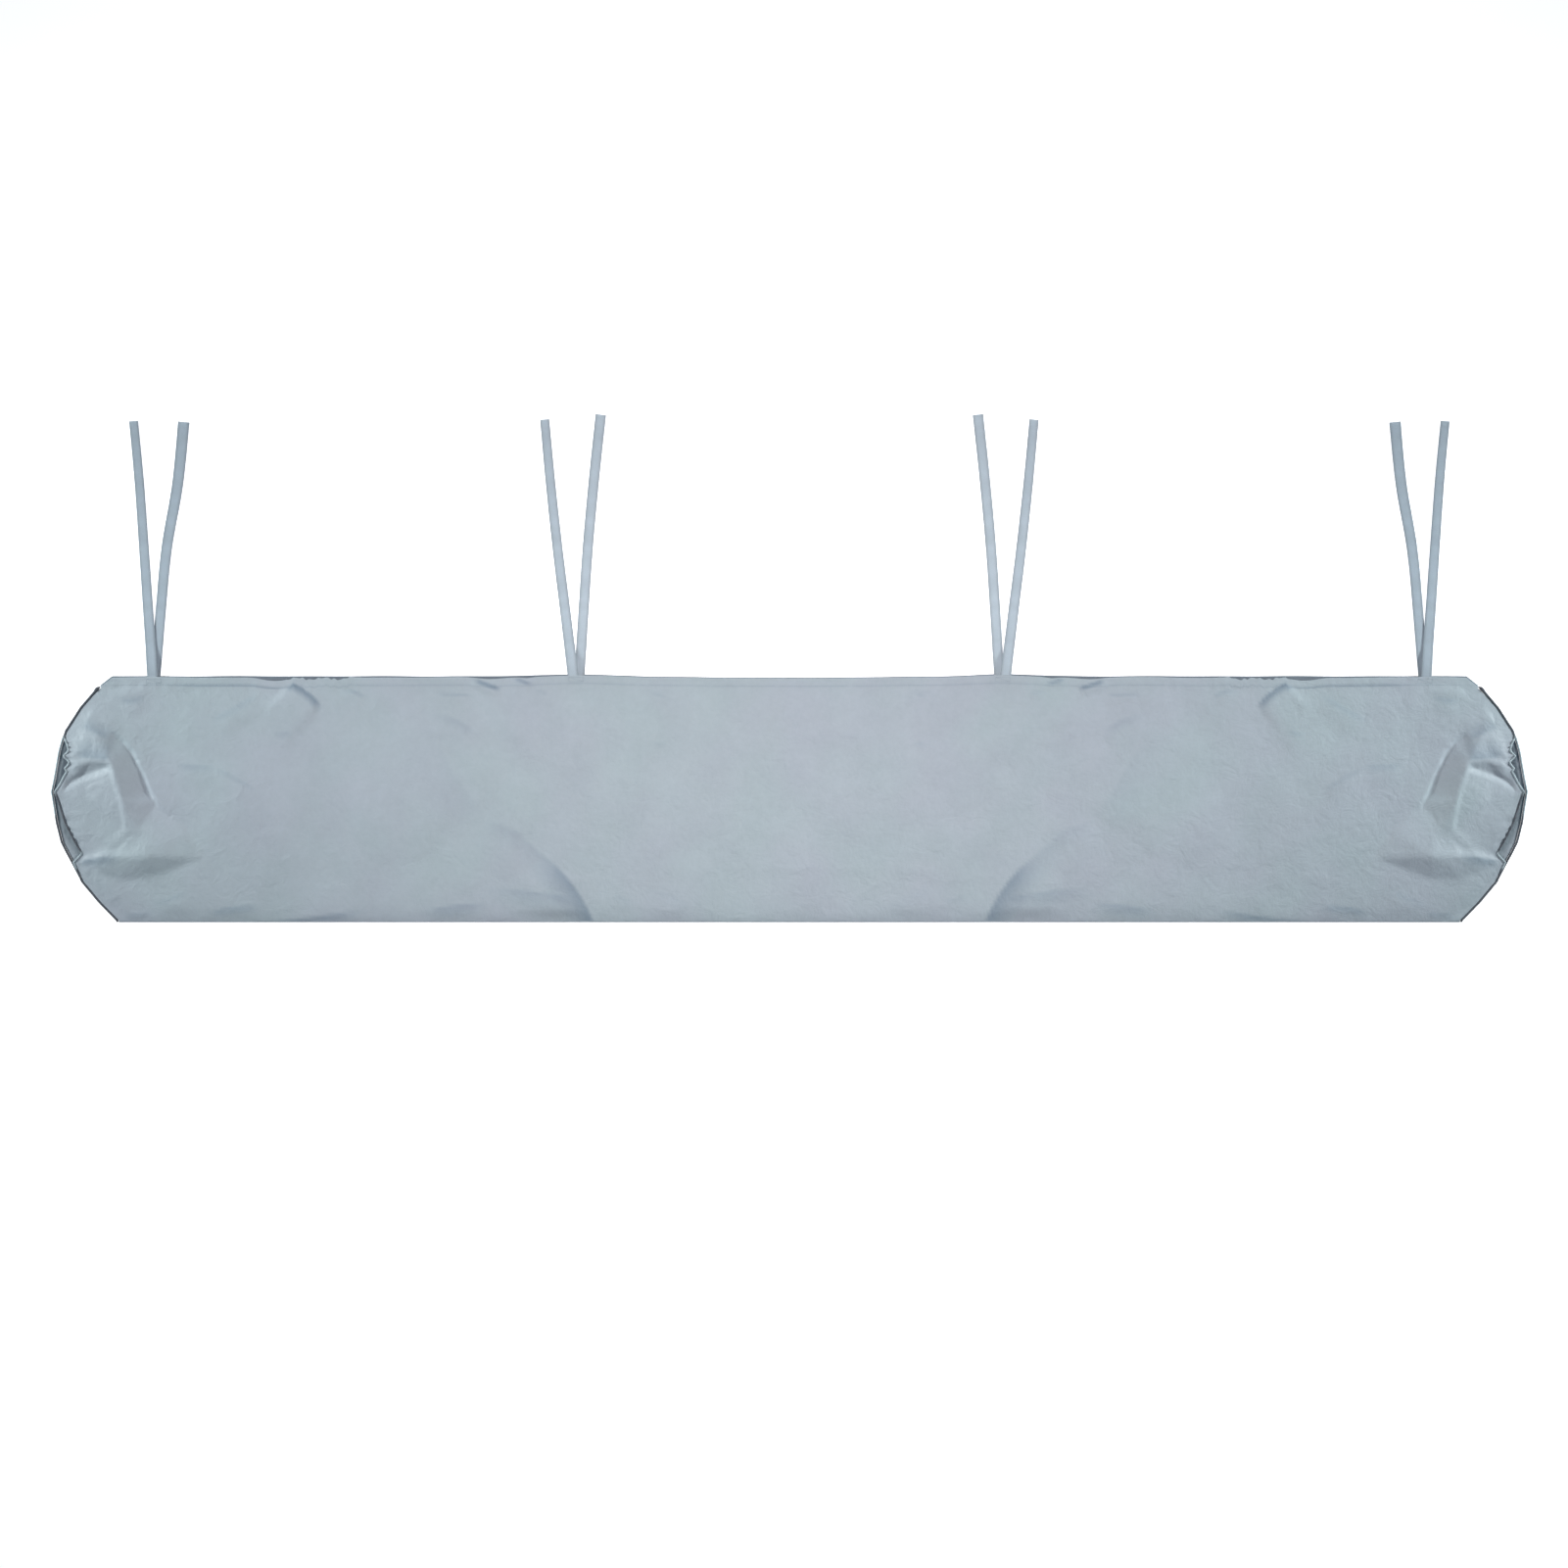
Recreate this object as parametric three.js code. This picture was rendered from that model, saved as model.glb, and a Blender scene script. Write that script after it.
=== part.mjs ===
// A long cloth sleeve that covers a rolled-up awning, lying flat on its back.
// One sheet is folded along its bottom edge, hemmed along its open top edge and gathered at
// both ends by a thin elastic cord. Four pairs of tapes, sewn inside the hems, tie it up.
// Millimetres. +Z is up, +Y runs from the bottom fold to the tapes, +X along the sleeve.
// The origin is on the ground under the middle of the whole outline, tapes included.
import * as THREE from "three";

// Driving dimensions of the sleeve
const LENGTH = 3000; // from tip to tip
const DEPTH = 500; // from the bottom fold to the top hem
const CLOTH = 1.2; // thickness of the sheet
const HEM = 20; // width of the turned hem
const MOUTH = 7; // clear height between the two hems
const FOLD_RADIUS = 3.2; // of the sheet's middle at the bottom fold
const END_ZONE = 330; // how far the gathered end reaches in from the tip
const GAP = 0.3; // between neighbouring pieces

// The elastic cord in each end and the knot at its top
const CORD = 3.2; // diameter
const CORD_SIDES = 8;
const KNOT = 5.6; // diameter
const KNOT_LENGTH = 8;

// The tapes
const TAPE_WIDTH = 20;
const TAPE = 1.2; // thickness
const TAPE_ROOT = 16; // length sewn under the hem
const TAPE_STEPS = 20;
const OUTER_PAIR = 1290; // from the middle of the sleeve to the root of a pair
const INNER_PAIR = 433;

// Each tape's reach beyond the hem and its sideways sway at the hem and each quarter of that
// reach. A positive sway is towards the middle of the sleeve. It rises over its partner until
// the two have parted.
const TAPES = [
  { name: "outer_front", root: OUTER_PAIR, front: true, reach: 518, parted: 150,
    hem: -3, quarter: -12, half: -21, threeQuarters: -30, tip: -42 },
  { name: "outer_back", root: OUTER_PAIR, front: false, reach: 516, parted: 0,
    hem: 3, quarter: 13, half: 25, threeQuarters: 47, tip: 60 },
  { name: "inner_front", root: INNER_PAIR, front: true, reach: 521, parted: 90,
    hem: -6, quarter: -22, half: -38, threeQuarters: -52, tip: -64 },
  { name: "inner_back", root: INNER_PAIR, front: false, reach: 531, parted: 0,
    hem: 7, quarter: 15, half: 24, threeQuarters: 36, tip: 50 },
];
const TIE_REACH = Math.max(...TAPES.map((tape) => tape.reach));

// The outline of an end: at each depth below the hem, how far the outer edge lies in from the
// tip, how much further in the front layer's edge lies, and how high that edge stands.
const END_OUTLINE = [
  { depth: 0, inset: 131, frontExtra: 0, rimHeight: 11.2 },
  { depth: 22, inset: 97, frontExtra: 0, rimHeight: 11 },
  { depth: 64, inset: 60, frontExtra: 0, rimHeight: 10.5 },
  { depth: 111, inset: 30, frontExtra: 0, rimHeight: 11 },
  { depth: 125, inset: 23, frontExtra: 3, rimHeight: 12 },
  { depth: 147, inset: 16, frontExtra: 21, rimHeight: 13 },
  { depth: 163, inset: 13, frontExtra: 13, rimHeight: 13.5 },
  { depth: 181, inset: 10, frontExtra: 27, rimHeight: 14 },
  { depth: 205, inset: 6, frontExtra: 19, rimHeight: 14 },
  { depth: 235, inset: 0, frontExtra: 9, rimHeight: 14.5 },
  { depth: 260, inset: 4, frontExtra: 14, rimHeight: 15 },
  { depth: 298, inset: 10, frontExtra: 19, rimHeight: 15 },
  { depth: 338, inset: 20, frontExtra: 29, rimHeight: 14 },
  { depth: 360, inset: 31, frontExtra: 31, rimHeight: 12 },
  { depth: 378, inset: 41, frontExtra: 4, rimHeight: 10 },
  { depth: 418, inset: 62, frontExtra: 0, rimHeight: 8 },
  { depth: 460, inset: 97, frontExtra: 0, rimHeight: 7.2 },
  { depth: DEPTH, inset: 136, frontExtra: 0, rimHeight: 7 },
];

// Height of the front layer's middle above the ground, away from the ends.
const FRONT_SECTION = [
  { depth: 0, height: 11.2 },
  { depth: HEM, height: 12.2 },
  { depth: 60, height: 16 },
  { depth: 130, height: 19 },
  { depth: 220, height: 20 },
  { depth: 300, height: 19.5 },
  { depth: 380, height: 17.6 },
  { depth: 430, height: 15 },
  { depth: 465, height: 12 },
  { depth: 485, height: 9.4 },
  { depth: DEPTH - FOLD_RADIUS, height: CLOTH / 2 + 2 * FOLD_RADIUS },
];

// Corners of the flat facets that the gathered end has crumpled into: inset from the tip,
// depth below the hem and rise above the calm sheet.
const CORNERS = {
  rimTop: [56, 100, 0],
  shoulder: [103, 133, 10],
  peak: [125, 174, 17],
  ridgeHigh: [136, 211, 15.5],
  ridgeMiddle: [147, 251, 13.5],
  ridgeLow: [157, 312, 8.5],
  ridgeFoot: [123, 354, 4.5],
  rimFoot: [62, 362, 0],
  pleatRim: [38, 158, 3],
  pleatCrest: [84, 167, 12],
  dipRim: [30, 205, -3],
  dipBottom: [62, 186, 1],
  tuckRim: [22, 231, 2],
  tuckCrest: [76, 196, 11],
  rimMiddle: [34, 300, 0],
  pocket: [92, 262, 9],
  valleyStart: [76, 78, 0],
  valleyTop: [151, 120, 0],
  valleyBend: [167, 151, 0],
  valleySide: [187, 195, 0],
  valleyLow: [203, 235, 0],
  valleyTip: [217, 259, 0],
  notchTop: [177, 314, 2],
  notchFoot: [131, 355, 2],
  creaseTop: [197, 312, 4.5],
  creaseFoot: [143, 358, 4.5],
  lowerStart: [60, 374, 0],
  lowerRise: [95, 364, 7],
  lowerCrest: [195, 366, 10],
  lowerTip: [306, 368, 0],
  lowerToe: [84, 384, 0],
  lowerHeel: [135, 422, 0],
  lowerSole: [199, 418, 0],
  plateauEdge: [275, 318, 0],
};

const FACETS = [
  ["valleyStart", "rimTop", "shoulder"],
  ["valleyStart", "shoulder", "valleyTop"],
  ["shoulder", "peak", "valleyTop"],
  ["valleyTop", "peak", "valleyBend"],
  ["peak", "ridgeHigh", "valleyBend"],
  ["valleyBend", "ridgeHigh", "valleySide"],
  ["ridgeHigh", "ridgeMiddle", "valleySide"],
  ["valleySide", "ridgeMiddle", "valleyLow"],
  ["valleyLow", "ridgeMiddle", "valleyTip"],
  ["rimTop", "pleatRim", "shoulder"],
  ["shoulder", "pleatRim", "pleatCrest"],
  ["shoulder", "pleatCrest", "peak"],
  ["pleatRim", "dipRim", "pleatCrest"],
  ["dipRim", "dipBottom", "pleatCrest"],
  ["pleatCrest", "dipBottom", "peak"],
  ["dipRim", "tuckRim", "dipBottom"],
  ["dipBottom", "tuckRim", "tuckCrest"],
  ["dipBottom", "tuckCrest", "peak"],
  ["tuckRim", "rimMiddle", "pocket"],
  ["tuckRim", "pocket", "tuckCrest"],
  ["tuckCrest", "pocket", "peak"],
  ["peak", "pocket", "ridgeHigh"],
  ["ridgeHigh", "pocket", "ridgeMiddle"],
  ["ridgeMiddle", "pocket", "ridgeLow"],
  ["pocket", "ridgeFoot", "ridgeLow"],
  ["pocket", "rimFoot", "ridgeFoot"],
  ["rimMiddle", "rimFoot", "pocket"],
  ["ridgeMiddle", "ridgeLow", "notchTop"],
  ["ridgeMiddle", "notchTop", "valleyTip"],
  ["valleyTip", "notchTop", "creaseTop"],
  ["ridgeLow", "notchFoot", "notchTop"],
  ["ridgeLow", "ridgeFoot", "notchFoot"],
  ["notchTop", "notchFoot", "creaseFoot"],
  ["notchTop", "creaseFoot", "creaseTop"],
  ["rimFoot", "lowerStart", "ridgeFoot"],
  ["lowerStart", "lowerRise", "ridgeFoot"],
  ["ridgeFoot", "lowerRise", "notchFoot"],
  ["notchFoot", "lowerRise", "creaseFoot"],
  ["creaseFoot", "lowerRise", "lowerCrest"],
  ["creaseFoot", "lowerCrest", "creaseTop"],
  ["creaseTop", "lowerCrest", "plateauEdge"],
  ["plateauEdge", "lowerCrest", "lowerTip"],
  ["valleyTip", "creaseTop", "plateauEdge"],
  ["lowerStart", "lowerToe", "lowerRise"],
  ["lowerRise", "lowerToe", "lowerHeel"],
  ["lowerRise", "lowerHeel", "lowerCrest"],
  ["lowerCrest", "lowerHeel", "lowerSole"],
  ["lowerCrest", "lowerSole", "lowerTip"],
];
const FACET_BLEND = 7; // rounds the creases between facets

// Long soft folds of the front layer. A crest runs from its start to its end, bowed sideways
// in the middle, and falls away over a width of its own on either hand.
const FOLDS = [
  { name: "broad slant", start: [300, 130], end: [560, 410], bow: 20,
    rise: 5, rightWidth: 150, leftWidth: 170, rounding: 30 },
  { name: "long slant", start: [740, 60], end: [1075, 500], bow: -28,
    rise: 8, rightWidth: 300, leftWidth: 90, rounding: 26 },
  { name: "slant's foot", start: [930, 400], end: [1100, 500], bow: -24,
    rise: 5, rightWidth: 60, leftWidth: 46, rounding: 8 },
];

// The gathers along the elastic: where they run, their pitch and how far they reach in.
const GATHERS = { from: 118, to: 372, pitch: 24, rise: 1.6, reach: 16 };

// The grid that carries the sheet: depths on each layer, and shares of the end zone.
const FRONT_DEPTHS = [
  0, HEM - 1, HEM + 1, 42, 64, 84, 100, 111, 125, 134, 147, 158, 166, 174, 184, 195, 205, 220,
  235, 250, 262, 280, 298, 314, 330, 345, 356, 366, 378, 397, 418, 440, 460, 480,
];
const BACK_DEPTHS = [460, 418, 360, 298, 260, 235, 181, 125, 88, 52, HEM + 1, HEM - 1, 0];
const FOLD_TURNS = 4; // steps round the bottom fold
const END_SHARES = [0, 0.035, 0.08, 0.14, 0.2, 0.27, 0.34, 0.42, 0.5, 0.6, 0.72, 0.86];
const MIDDLE_STEPS = 24;

const HALF = LENGTH / 2;
const HEM_Y = (DEPTH - TIE_REACH) / 2; // centres the whole outline on the origin

const mix = (a, b, t) => a + (b - a) * t;
const clamp01 = (t) => Math.min(1, Math.max(0, t));
const ease = (t) => clamp01(t) ** 2 * (3 - 2 * clamp01(t));

// Value of one column of a table at a depth, eased from row to row.
function lookUp(table, column, depth) {
  const after = table.findIndex((row) => row.depth >= depth);
  if (after === 0) return table[0][column];
  if (after < 0) return table[table.length - 1][column];
  const [a, b] = [table[after - 1], table[after]];
  return mix(a[column], b[column], (depth - a.depth) / (b.depth - a.depth));
}

// How far in from the tip the outer edge of one layer lies at a depth.
function edgeInset(depth, front) {
  const extra = front ? lookUp(END_OUTLINE, "frontExtra", depth) : 0;
  return lookUp(END_OUTLINE, "inset", depth) + extra;
}

// How far in from the tip the line lies that runs at a distance inside that edge. A distance
// square to the edge grows with the edge's slant when it is measured along X.
function insideEdge(depth, front, inside) {
  const above = Math.abs(edgeInset(depth, front) - edgeInset(depth - 5, front)) / 5;
  const below = Math.abs(edgeInset(depth + 5, front) - edgeInset(depth, front)) / 5;
  return edgeInset(depth, front) + inside * Math.hypot(1, Math.max(above, below));
}

// The cloth stops short of the cord, which starts below the hem.
function clothEdge(depth, front) {
  return insideEdge(depth, front, depth < HEM ? 0 : CORD + GAP);
}

// Rise of the facet over a point: flat from corner to corner, nothing beyond them.
function facetRise(inset, depth) {
  for (const names of FACETS) {
    const corners = names.map((name) => CORNERS[name]);
    const flat = corners.map(([u, v]) => new THREE.Vector3(u, v, 0));
    const share = new THREE.Vector3();
    THREE.Triangle.getBarycoord(new THREE.Vector3(inset, depth, 0), ...flat, share);
    if (Math.min(share.x, share.y, share.z) >= 0) {
      return share.dot(new THREE.Vector3(...corners.map((corner) => corner[2])));
    }
  }
  return 0;
}

// The same, averaged with its neighbourhood.
function crumple(inset, depth) {
  const near = [[0, 0], [-1, 0], [1, 0], [0, -1], [0, 1]];
  const rises = near.map(([u, v]) => facetRise(inset + u * FACET_BLEND, depth + v * FACET_BLEND));
  return rises.reduce((sum, rise) => sum + rise, 0) / near.length;
}

// Rise of one soft fold at a point: highest on the crest, nothing past its ends.
function foldRise(fold, inset, depth) {
  const start = new THREE.Vector2(...fold.start);
  const run = new THREE.Vector2(...fold.end).sub(start);
  const away = new THREE.Vector2(inset, depth).sub(start);
  const along = clamp01(away.dot(run) / run.lengthSq());
  const fade = Math.sin(Math.PI * along);
  const sideways = run.cross(away) / run.length() - fold.bow * 4 * along * (1 - along);
  const width = (sideways > 0 ? fold.rightWidth : fold.leftWidth) * (0.3 + 0.7 * fade);
  const distance = Math.hypot(sideways, fold.rounding) - fold.rounding;
  return fold.rise * fade * clamp01(1 - distance / width) ** 1.3;
}

// Height of the front layer's middle at an inset from the tip and a depth below the hem.
function frontHeight(inset, depth) {
  const inward = inset - clothEdge(depth, true);
  const calm = lookUp(FRONT_SECTION, "height", depth);
  const rim = lookUp(END_OUTLINE, "rimHeight", depth);
  const swell = FOLDS.reduce((sum, fold) => sum + foldRise(fold, inset, depth), crumple(inset, depth));
  const clearOfEdges = ease(inward / 26) * ease((depth - HEM) / 20) * ease((DEPTH - 8 - depth) / 30);
  const gathered = ease((depth - GATHERS.from) / 12) * ease((GATHERS.to - depth) / 30);
  const wave = Math.cos((2 * Math.PI * (depth - GATHERS.from)) / GATHERS.pitch);
  const gather = GATHERS.rise * gathered * wave * Math.exp(-inward / GATHERS.reach) * ease(inward / 8);
  return mix(rim, calm, ease(inward / 60)) + swell * clearOfEdges + gather;
}

// How far the hem line sags: down in the middle of the sleeve, up where the inner tapes pull.
function hemSag(x) {
  return 3 * Math.exp(-((x / 260) ** 2)) - 4 * Math.exp(-(((Math.abs(x) - INNER_PAIR) / 90) ** 2));
}

// Points of the sheet's cross-section, from the front hem round the fold to the back hem.
function sectionPoints() {
  const points = FRONT_DEPTHS.map((depth) => ({ layer: "front", depth, turn: 0 }));
  for (let k = 0; k <= FOLD_TURNS; k++) {
    points.push({ layer: "fold", depth: DEPTH - CLOTH / 2 - FOLD_RADIUS, turn: (Math.PI * k) / FOLD_TURNS });
  }
  return points.concat(BACK_DEPTHS.map((depth) => ({ layer: "back", depth, turn: Math.PI })));
}

// The x of every station on one section point, from one end to the other.
function stations(point) {
  const edge = clothEdge(point.depth, point.layer === "front");
  const end = END_SHARES.map((share) => HALF - mix(edge, END_ZONE, share));
  const middle = [];
  for (let k = 0; k <= MIDDLE_STEPS; k++) {
    middle.push(mix(-(HALF - END_ZONE), HALF - END_ZONE, k / MIDDLE_STEPS));
  }
  return [...end.map((x) => -x), ...middle, ...end.slice().reverse()];
}

// Middle of the sheet and the direction that points out of the sleeve, at one station.
function sheetPoint(point, x) {
  const normal = new THREE.Vector3(0, -Math.sin(point.turn), Math.cos(point.turn));
  const y = HEM_Y - point.depth - hemSag(x) * (1 - point.depth / DEPTH);
  if (point.layer === "front") {
    return { middle: new THREE.Vector3(x, y, frontHeight(HALF - Math.abs(x), point.depth)), normal };
  }
  const centre = new THREE.Vector3(x, y, CLOTH / 2 + FOLD_RADIUS);
  return { middle: centre.addScaledVector(normal, FOLD_RADIUS), normal };
}

// Closed solid from a grid of outer and inner points, joined round its four edges.
function shellGeometry(outer, inner) {
  const columns = outer[0].length;
  const positions = [...outer.flat(), ...inner.flat()].flatMap((p) => [p.x, p.y, p.z]);
  const rows = outer.length;
  const out = (i, j) => i * columns + j;
  const into = (i, j) => rows * columns + i * columns + j;
  const index = [];
  const quad = (a, b, c, d) => index.push(a, c, b, a, d, c);
  for (let i = 0; i < rows - 1; i++) {
    for (let j = 0; j < columns - 1; j++) {
      quad(out(i, j), out(i, j + 1), out(i + 1, j + 1), out(i + 1, j));
      quad(into(i, j), into(i + 1, j), into(i + 1, j + 1), into(i, j + 1));
    }
    quad(out(i, 0), out(i + 1, 0), into(i + 1, 0), into(i, 0));
    quad(out(i + 1, columns - 1), out(i, columns - 1), into(i, columns - 1), into(i + 1, columns - 1));
  }
  for (let j = 0; j < columns - 1; j++) {
    quad(out(0, j + 1), out(0, j), into(0, j), into(0, j + 1));
    quad(out(rows - 1, j), out(rows - 1, j + 1), into(rows - 1, j + 1), into(rows - 1, j));
  }
  const geometry = new THREE.BufferGeometry();
  geometry.setAttribute("position", new THREE.Float32BufferAttribute(positions, 3));
  geometry.setIndex(index);
  geometry.computeVertexNormals();
  return geometry;
}

// The whole sheet, doubled inwards along both hems.
function sleeveGeometry() {
  const outer = [];
  const inner = [];
  for (const point of sectionPoints()) {
    const hemmed = point.layer !== "fold" && point.depth < HEM ? CLOTH : 0;
    const places = stations(point).map((x) => sheetPoint(point, x));
    const offset = (out) => places.map(({ middle, normal }) => middle.clone().addScaledVector(normal, out));
    outer.push(offset(CLOTH / 2));
    inner.push(offset(-CLOTH / 2 - hemmed));
  }
  return shellGeometry(outer, inner);
}

// Closed tube with a radius of its own at every point of its path.
function tubeGeometry(path, radii, sides) {
  const tangents = path.map((p, i) =>
    path[Math.min(i + 1, path.length - 1)].clone().sub(path[Math.max(i - 1, 0)]).normalize(),
  );
  let side = new THREE.Vector3(0, 0, 1).cross(tangents[0]).normalize();
  const positions = [];
  path.forEach((p, i) => {
    side = side.addScaledVector(tangents[i], -side.dot(tangents[i])).normalize();
    const up = tangents[i].clone().cross(side);
    for (let k = 0; k < sides; k++) {
      const angle = (2 * Math.PI * k) / sides;
      const rim = p.clone().addScaledVector(side, radii[i] * Math.cos(angle));
      rim.addScaledVector(up, radii[i] * Math.sin(angle));
      positions.push(rim.x, rim.y, rim.z);
    }
  });
  const index = [];
  const last = (path.length - 1) * sides;
  for (let k = 0; k < sides; k++) {
    const next = (k + 1) % sides;
    for (let i = 0; i < path.length - 1; i++) {
      const [a, b] = [i * sides, (i + 1) * sides];
      index.push(a + k, a + next, b + next, a + k, b + next, b + k);
    }
    if (k > 0 && next > 0) {
      index.push(0, next, k, last, last + k, last + next);
    }
  }
  const geometry = new THREE.BufferGeometry();
  geometry.setAttribute("position", new THREE.Float32BufferAttribute(positions, 3));
  geometry.setIndex(index);
  geometry.computeVertexNormals();
  return geometry;
}

// The elastic of one end: down the front edge, round the bottom fold and up the back edge.
function cordGeometry(side) {
  const radius = CORD / 2;
  const loopRadius = CLOTH / 2 + FOLD_RADIUS - radius;
  const loopDepth = DEPTH - loopRadius - radius;
  const top = HEM + 2;
  const place = (depth, front, outward, height) => {
    const x = HALF - insideEdge(depth, front, radius) + outward;
    return new THREE.Vector3(side * x, HEM_Y - depth, height);
  };
  const run = (depths, front) => {
    const between = depths.filter((depth) => depth > top + KNOT_LENGTH && depth < loopDepth);
    return [top, top + KNOT_LENGTH, ...between.sort((a, b) => a - b), loopDepth].map((depth) => {
      const knotted = depth < top + KNOT_LENGTH;
      const outward = knotted ? (KNOT - CORD) / 2 : 0;
      const lying = knotted ? KNOT / 2 : radius;
      return place(depth, front, outward, front ? lookUp(END_OUTLINE, "rimHeight", depth) : lying);
    });
  };
  const loop = [1, 2, 3, 4, 5].map((k) => {
    const turn = (Math.PI * k) / 6;
    const spot = place(loopDepth, true, 0, radius + loopRadius * (1 + Math.cos(turn)));
    return spot.add(new THREE.Vector3(0, -loopRadius * Math.sin(turn), 0));
  });
  const path = [...run(FRONT_DEPTHS, true), ...loop, ...run(BACK_DEPTHS, false).reverse()];
  const radii = path.map((p, i) => (i === 0 || i === path.length - 1 ? KNOT / 2 : radius));
  return tubeGeometry(path, radii, CORD_SIDES);
}

// One tape: sewn inside its hem, dropping from there to the ground, its free end laid out.
function tapeGeometry(tape, side) {
  const sways = [tape.hem, tape.quarter, tape.half, tape.threeQuarters, tape.tip];
  const quarters = sways.map((sway, k) => new THREE.Vector2((tape.reach * k) / 4, sway));
  const plan = new THREE.SplineCurve(quarters);
  const sewnAt = tape.front
    ? lookUp(FRONT_SECTION, "height", 0) - CLOTH * 1.5 - GAP - TAPE
    : 2 * CLOTH + GAP;
  const outer = [];
  const inner = [];
  for (let k = -1; k <= TAPE_STEPS; k++) {
    const spot = plan.getPoint(Math.max(0, k) / TAPE_STEPS);
    const heading = plan.getTangent(Math.max(0, k) / TAPE_STEPS);
    const out = k < 0 ? -TAPE_ROOT : spot.x;
    const overPartner = tape.front ? mix(TAPE + GAP + 0.2, 0, ease((out - tape.parted) / 50)) : 0;
    const lift = mix(sewnAt, overPartner, ease((out - 4) / (tape.front ? 60 : 34)));
    const centre = new THREE.Vector2(side * (tape.root - spot.y), HEM_Y + out);
    const across = new THREE.Vector2(heading.x, side * heading.y).multiplyScalar(TAPE_WIDTH / 2);
    const corners = [-1, 1].map((s) => centre.clone().addScaledVector(across, s));
    outer.push(corners.map((c) => new THREE.Vector3(c.x, c.y, lift + TAPE)));
    inner.push(corners.map((c) => new THREE.Vector3(c.x, c.y, lift)));
  }
  return shellGeometry(outer.reverse(), inner.reverse());
}

const clothFinish = { color: 0x9fb0bb, roughness: 0.62, metalness: 0 };
const tapeFinish = { color: 0xa3b6c1, roughness: 0.7, metalness: 0 };
const cordFinish = { color: 0x4d565d, roughness: 0.8, metalness: 0 };

function piece(name, geometry, finish) {
  const mesh = new THREE.Mesh(geometry, new THREE.MeshStandardMaterial(finish));
  mesh.name = name;
  return mesh;
}

const cover = new THREE.Group();
cover.add(piece("sleeve_cloth", sleeveGeometry(), clothFinish));
for (const [sideName, side] of [["left", -1], ["right", 1]]) {
  cover.add(piece(`elastic_${sideName}`, cordGeometry(side), cordFinish));
  for (const tape of TAPES) {
    cover.add(piece(`tape_${sideName}_${tape.name}`, tapeGeometry(tape, side), tapeFinish));
  }
}

export default cover;
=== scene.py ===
"""A long cloth sleeve for a rolled-up awning, lying flat on its back and seen from above.

The sheet is folded along its bottom edge, hemmed along its open top edge and gathered at both
ends by a thin elastic cord. Four pairs of woven tapes leave the hem and lie spread out.
Shapes are worked out in millimetres and turned into metres when a mesh is made.
"""

import bpy
import numpy as np
from bpy.props import FloatProperty, FloatVectorProperty, PointerProperty
from bpy.types import Operator, Panel, PropertyGroup
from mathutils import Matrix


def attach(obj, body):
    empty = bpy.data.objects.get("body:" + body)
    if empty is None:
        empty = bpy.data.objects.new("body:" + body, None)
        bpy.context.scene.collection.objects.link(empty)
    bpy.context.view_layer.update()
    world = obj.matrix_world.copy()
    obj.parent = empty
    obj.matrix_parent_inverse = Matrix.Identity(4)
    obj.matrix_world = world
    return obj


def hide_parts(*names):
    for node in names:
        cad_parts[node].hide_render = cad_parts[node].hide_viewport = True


bl_info = {
    "name": "Awning Cover",
    "version": (1, 0, 0),
    "blender": (4, 5, 0),
    "location": "3D View > Sidebar > Awning Cover",
    "description": "Makes a cloth sleeve for a rolled-up awning, with gathered ends and tie tapes",
    "category": "Add Mesh",
}

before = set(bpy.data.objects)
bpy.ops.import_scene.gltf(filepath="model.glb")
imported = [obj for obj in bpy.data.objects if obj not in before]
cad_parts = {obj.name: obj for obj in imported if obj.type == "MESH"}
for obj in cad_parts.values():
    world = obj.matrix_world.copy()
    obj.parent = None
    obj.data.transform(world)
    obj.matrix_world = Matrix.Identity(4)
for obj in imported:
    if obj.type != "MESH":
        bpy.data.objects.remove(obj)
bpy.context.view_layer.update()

MM = 0.001

# The calm shape of the sleeve, in millimetres
DEPTH = 500.0
HALF = 1500.0
END_ZONE = 250.0
FOLD_RADIUS = 3.2
CLOTH = 1.2
HEM = 20.0
TAPE_REACH = 531.0
HEM_Y = (DEPTH - TAPE_REACH) / 2
GAP = 0.3
OUTER_PAIR, INNER_PAIR = 1290, 433

# Outline of an end: depth below the hem, inset of the outer edge from the tip, how much
# further in the front layer's edge lies, and how high that edge stands
END_OUTLINE = np.array([
    (0, 125, 0, 11.2), (24, 94, 0, 11.5), (64, 60, 0, 13), (111, 30, 0, 15), (125, 23, 3, 16.5),
    (140, 18.3, 15, 18.5), (151, 15.3, 21, 20), (163, 13, 12.5, 21), (176, 11, 27, 20.5),
    (188, 8.8, 19, 20), (194, 7.8, 24.4, 19.5), (205, 6, 19.5, 18.5), (219, 3.2, 15.5, 18),
    (235, 0, 8, 18), (260, 4, 13, 18.5), (298, 10, 19, 18.5), (338, 20, 29, 16), (360, 31, 31, 13),
    (378, 41, 4, 10), (418, 62, 0, 8), (460, 97, 0, 7.2), (500, 136, 0, 7),
], float)
INSET, FRONT_EXTRA, RIM_HEIGHT = 1, 2, 3

# Height of the front layer's middle away from the ends: depth, height
FRONT_SECTION = np.array([
    (0, 11.2), (20, 12.1), (60, 14.8), (130, 17), (220, 17.6), (300, 16.8), (380, 15.1),
    (430, 13.6), (465, 11.8), (485, 9.6), (496.8, 7.0),
], float)

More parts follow.
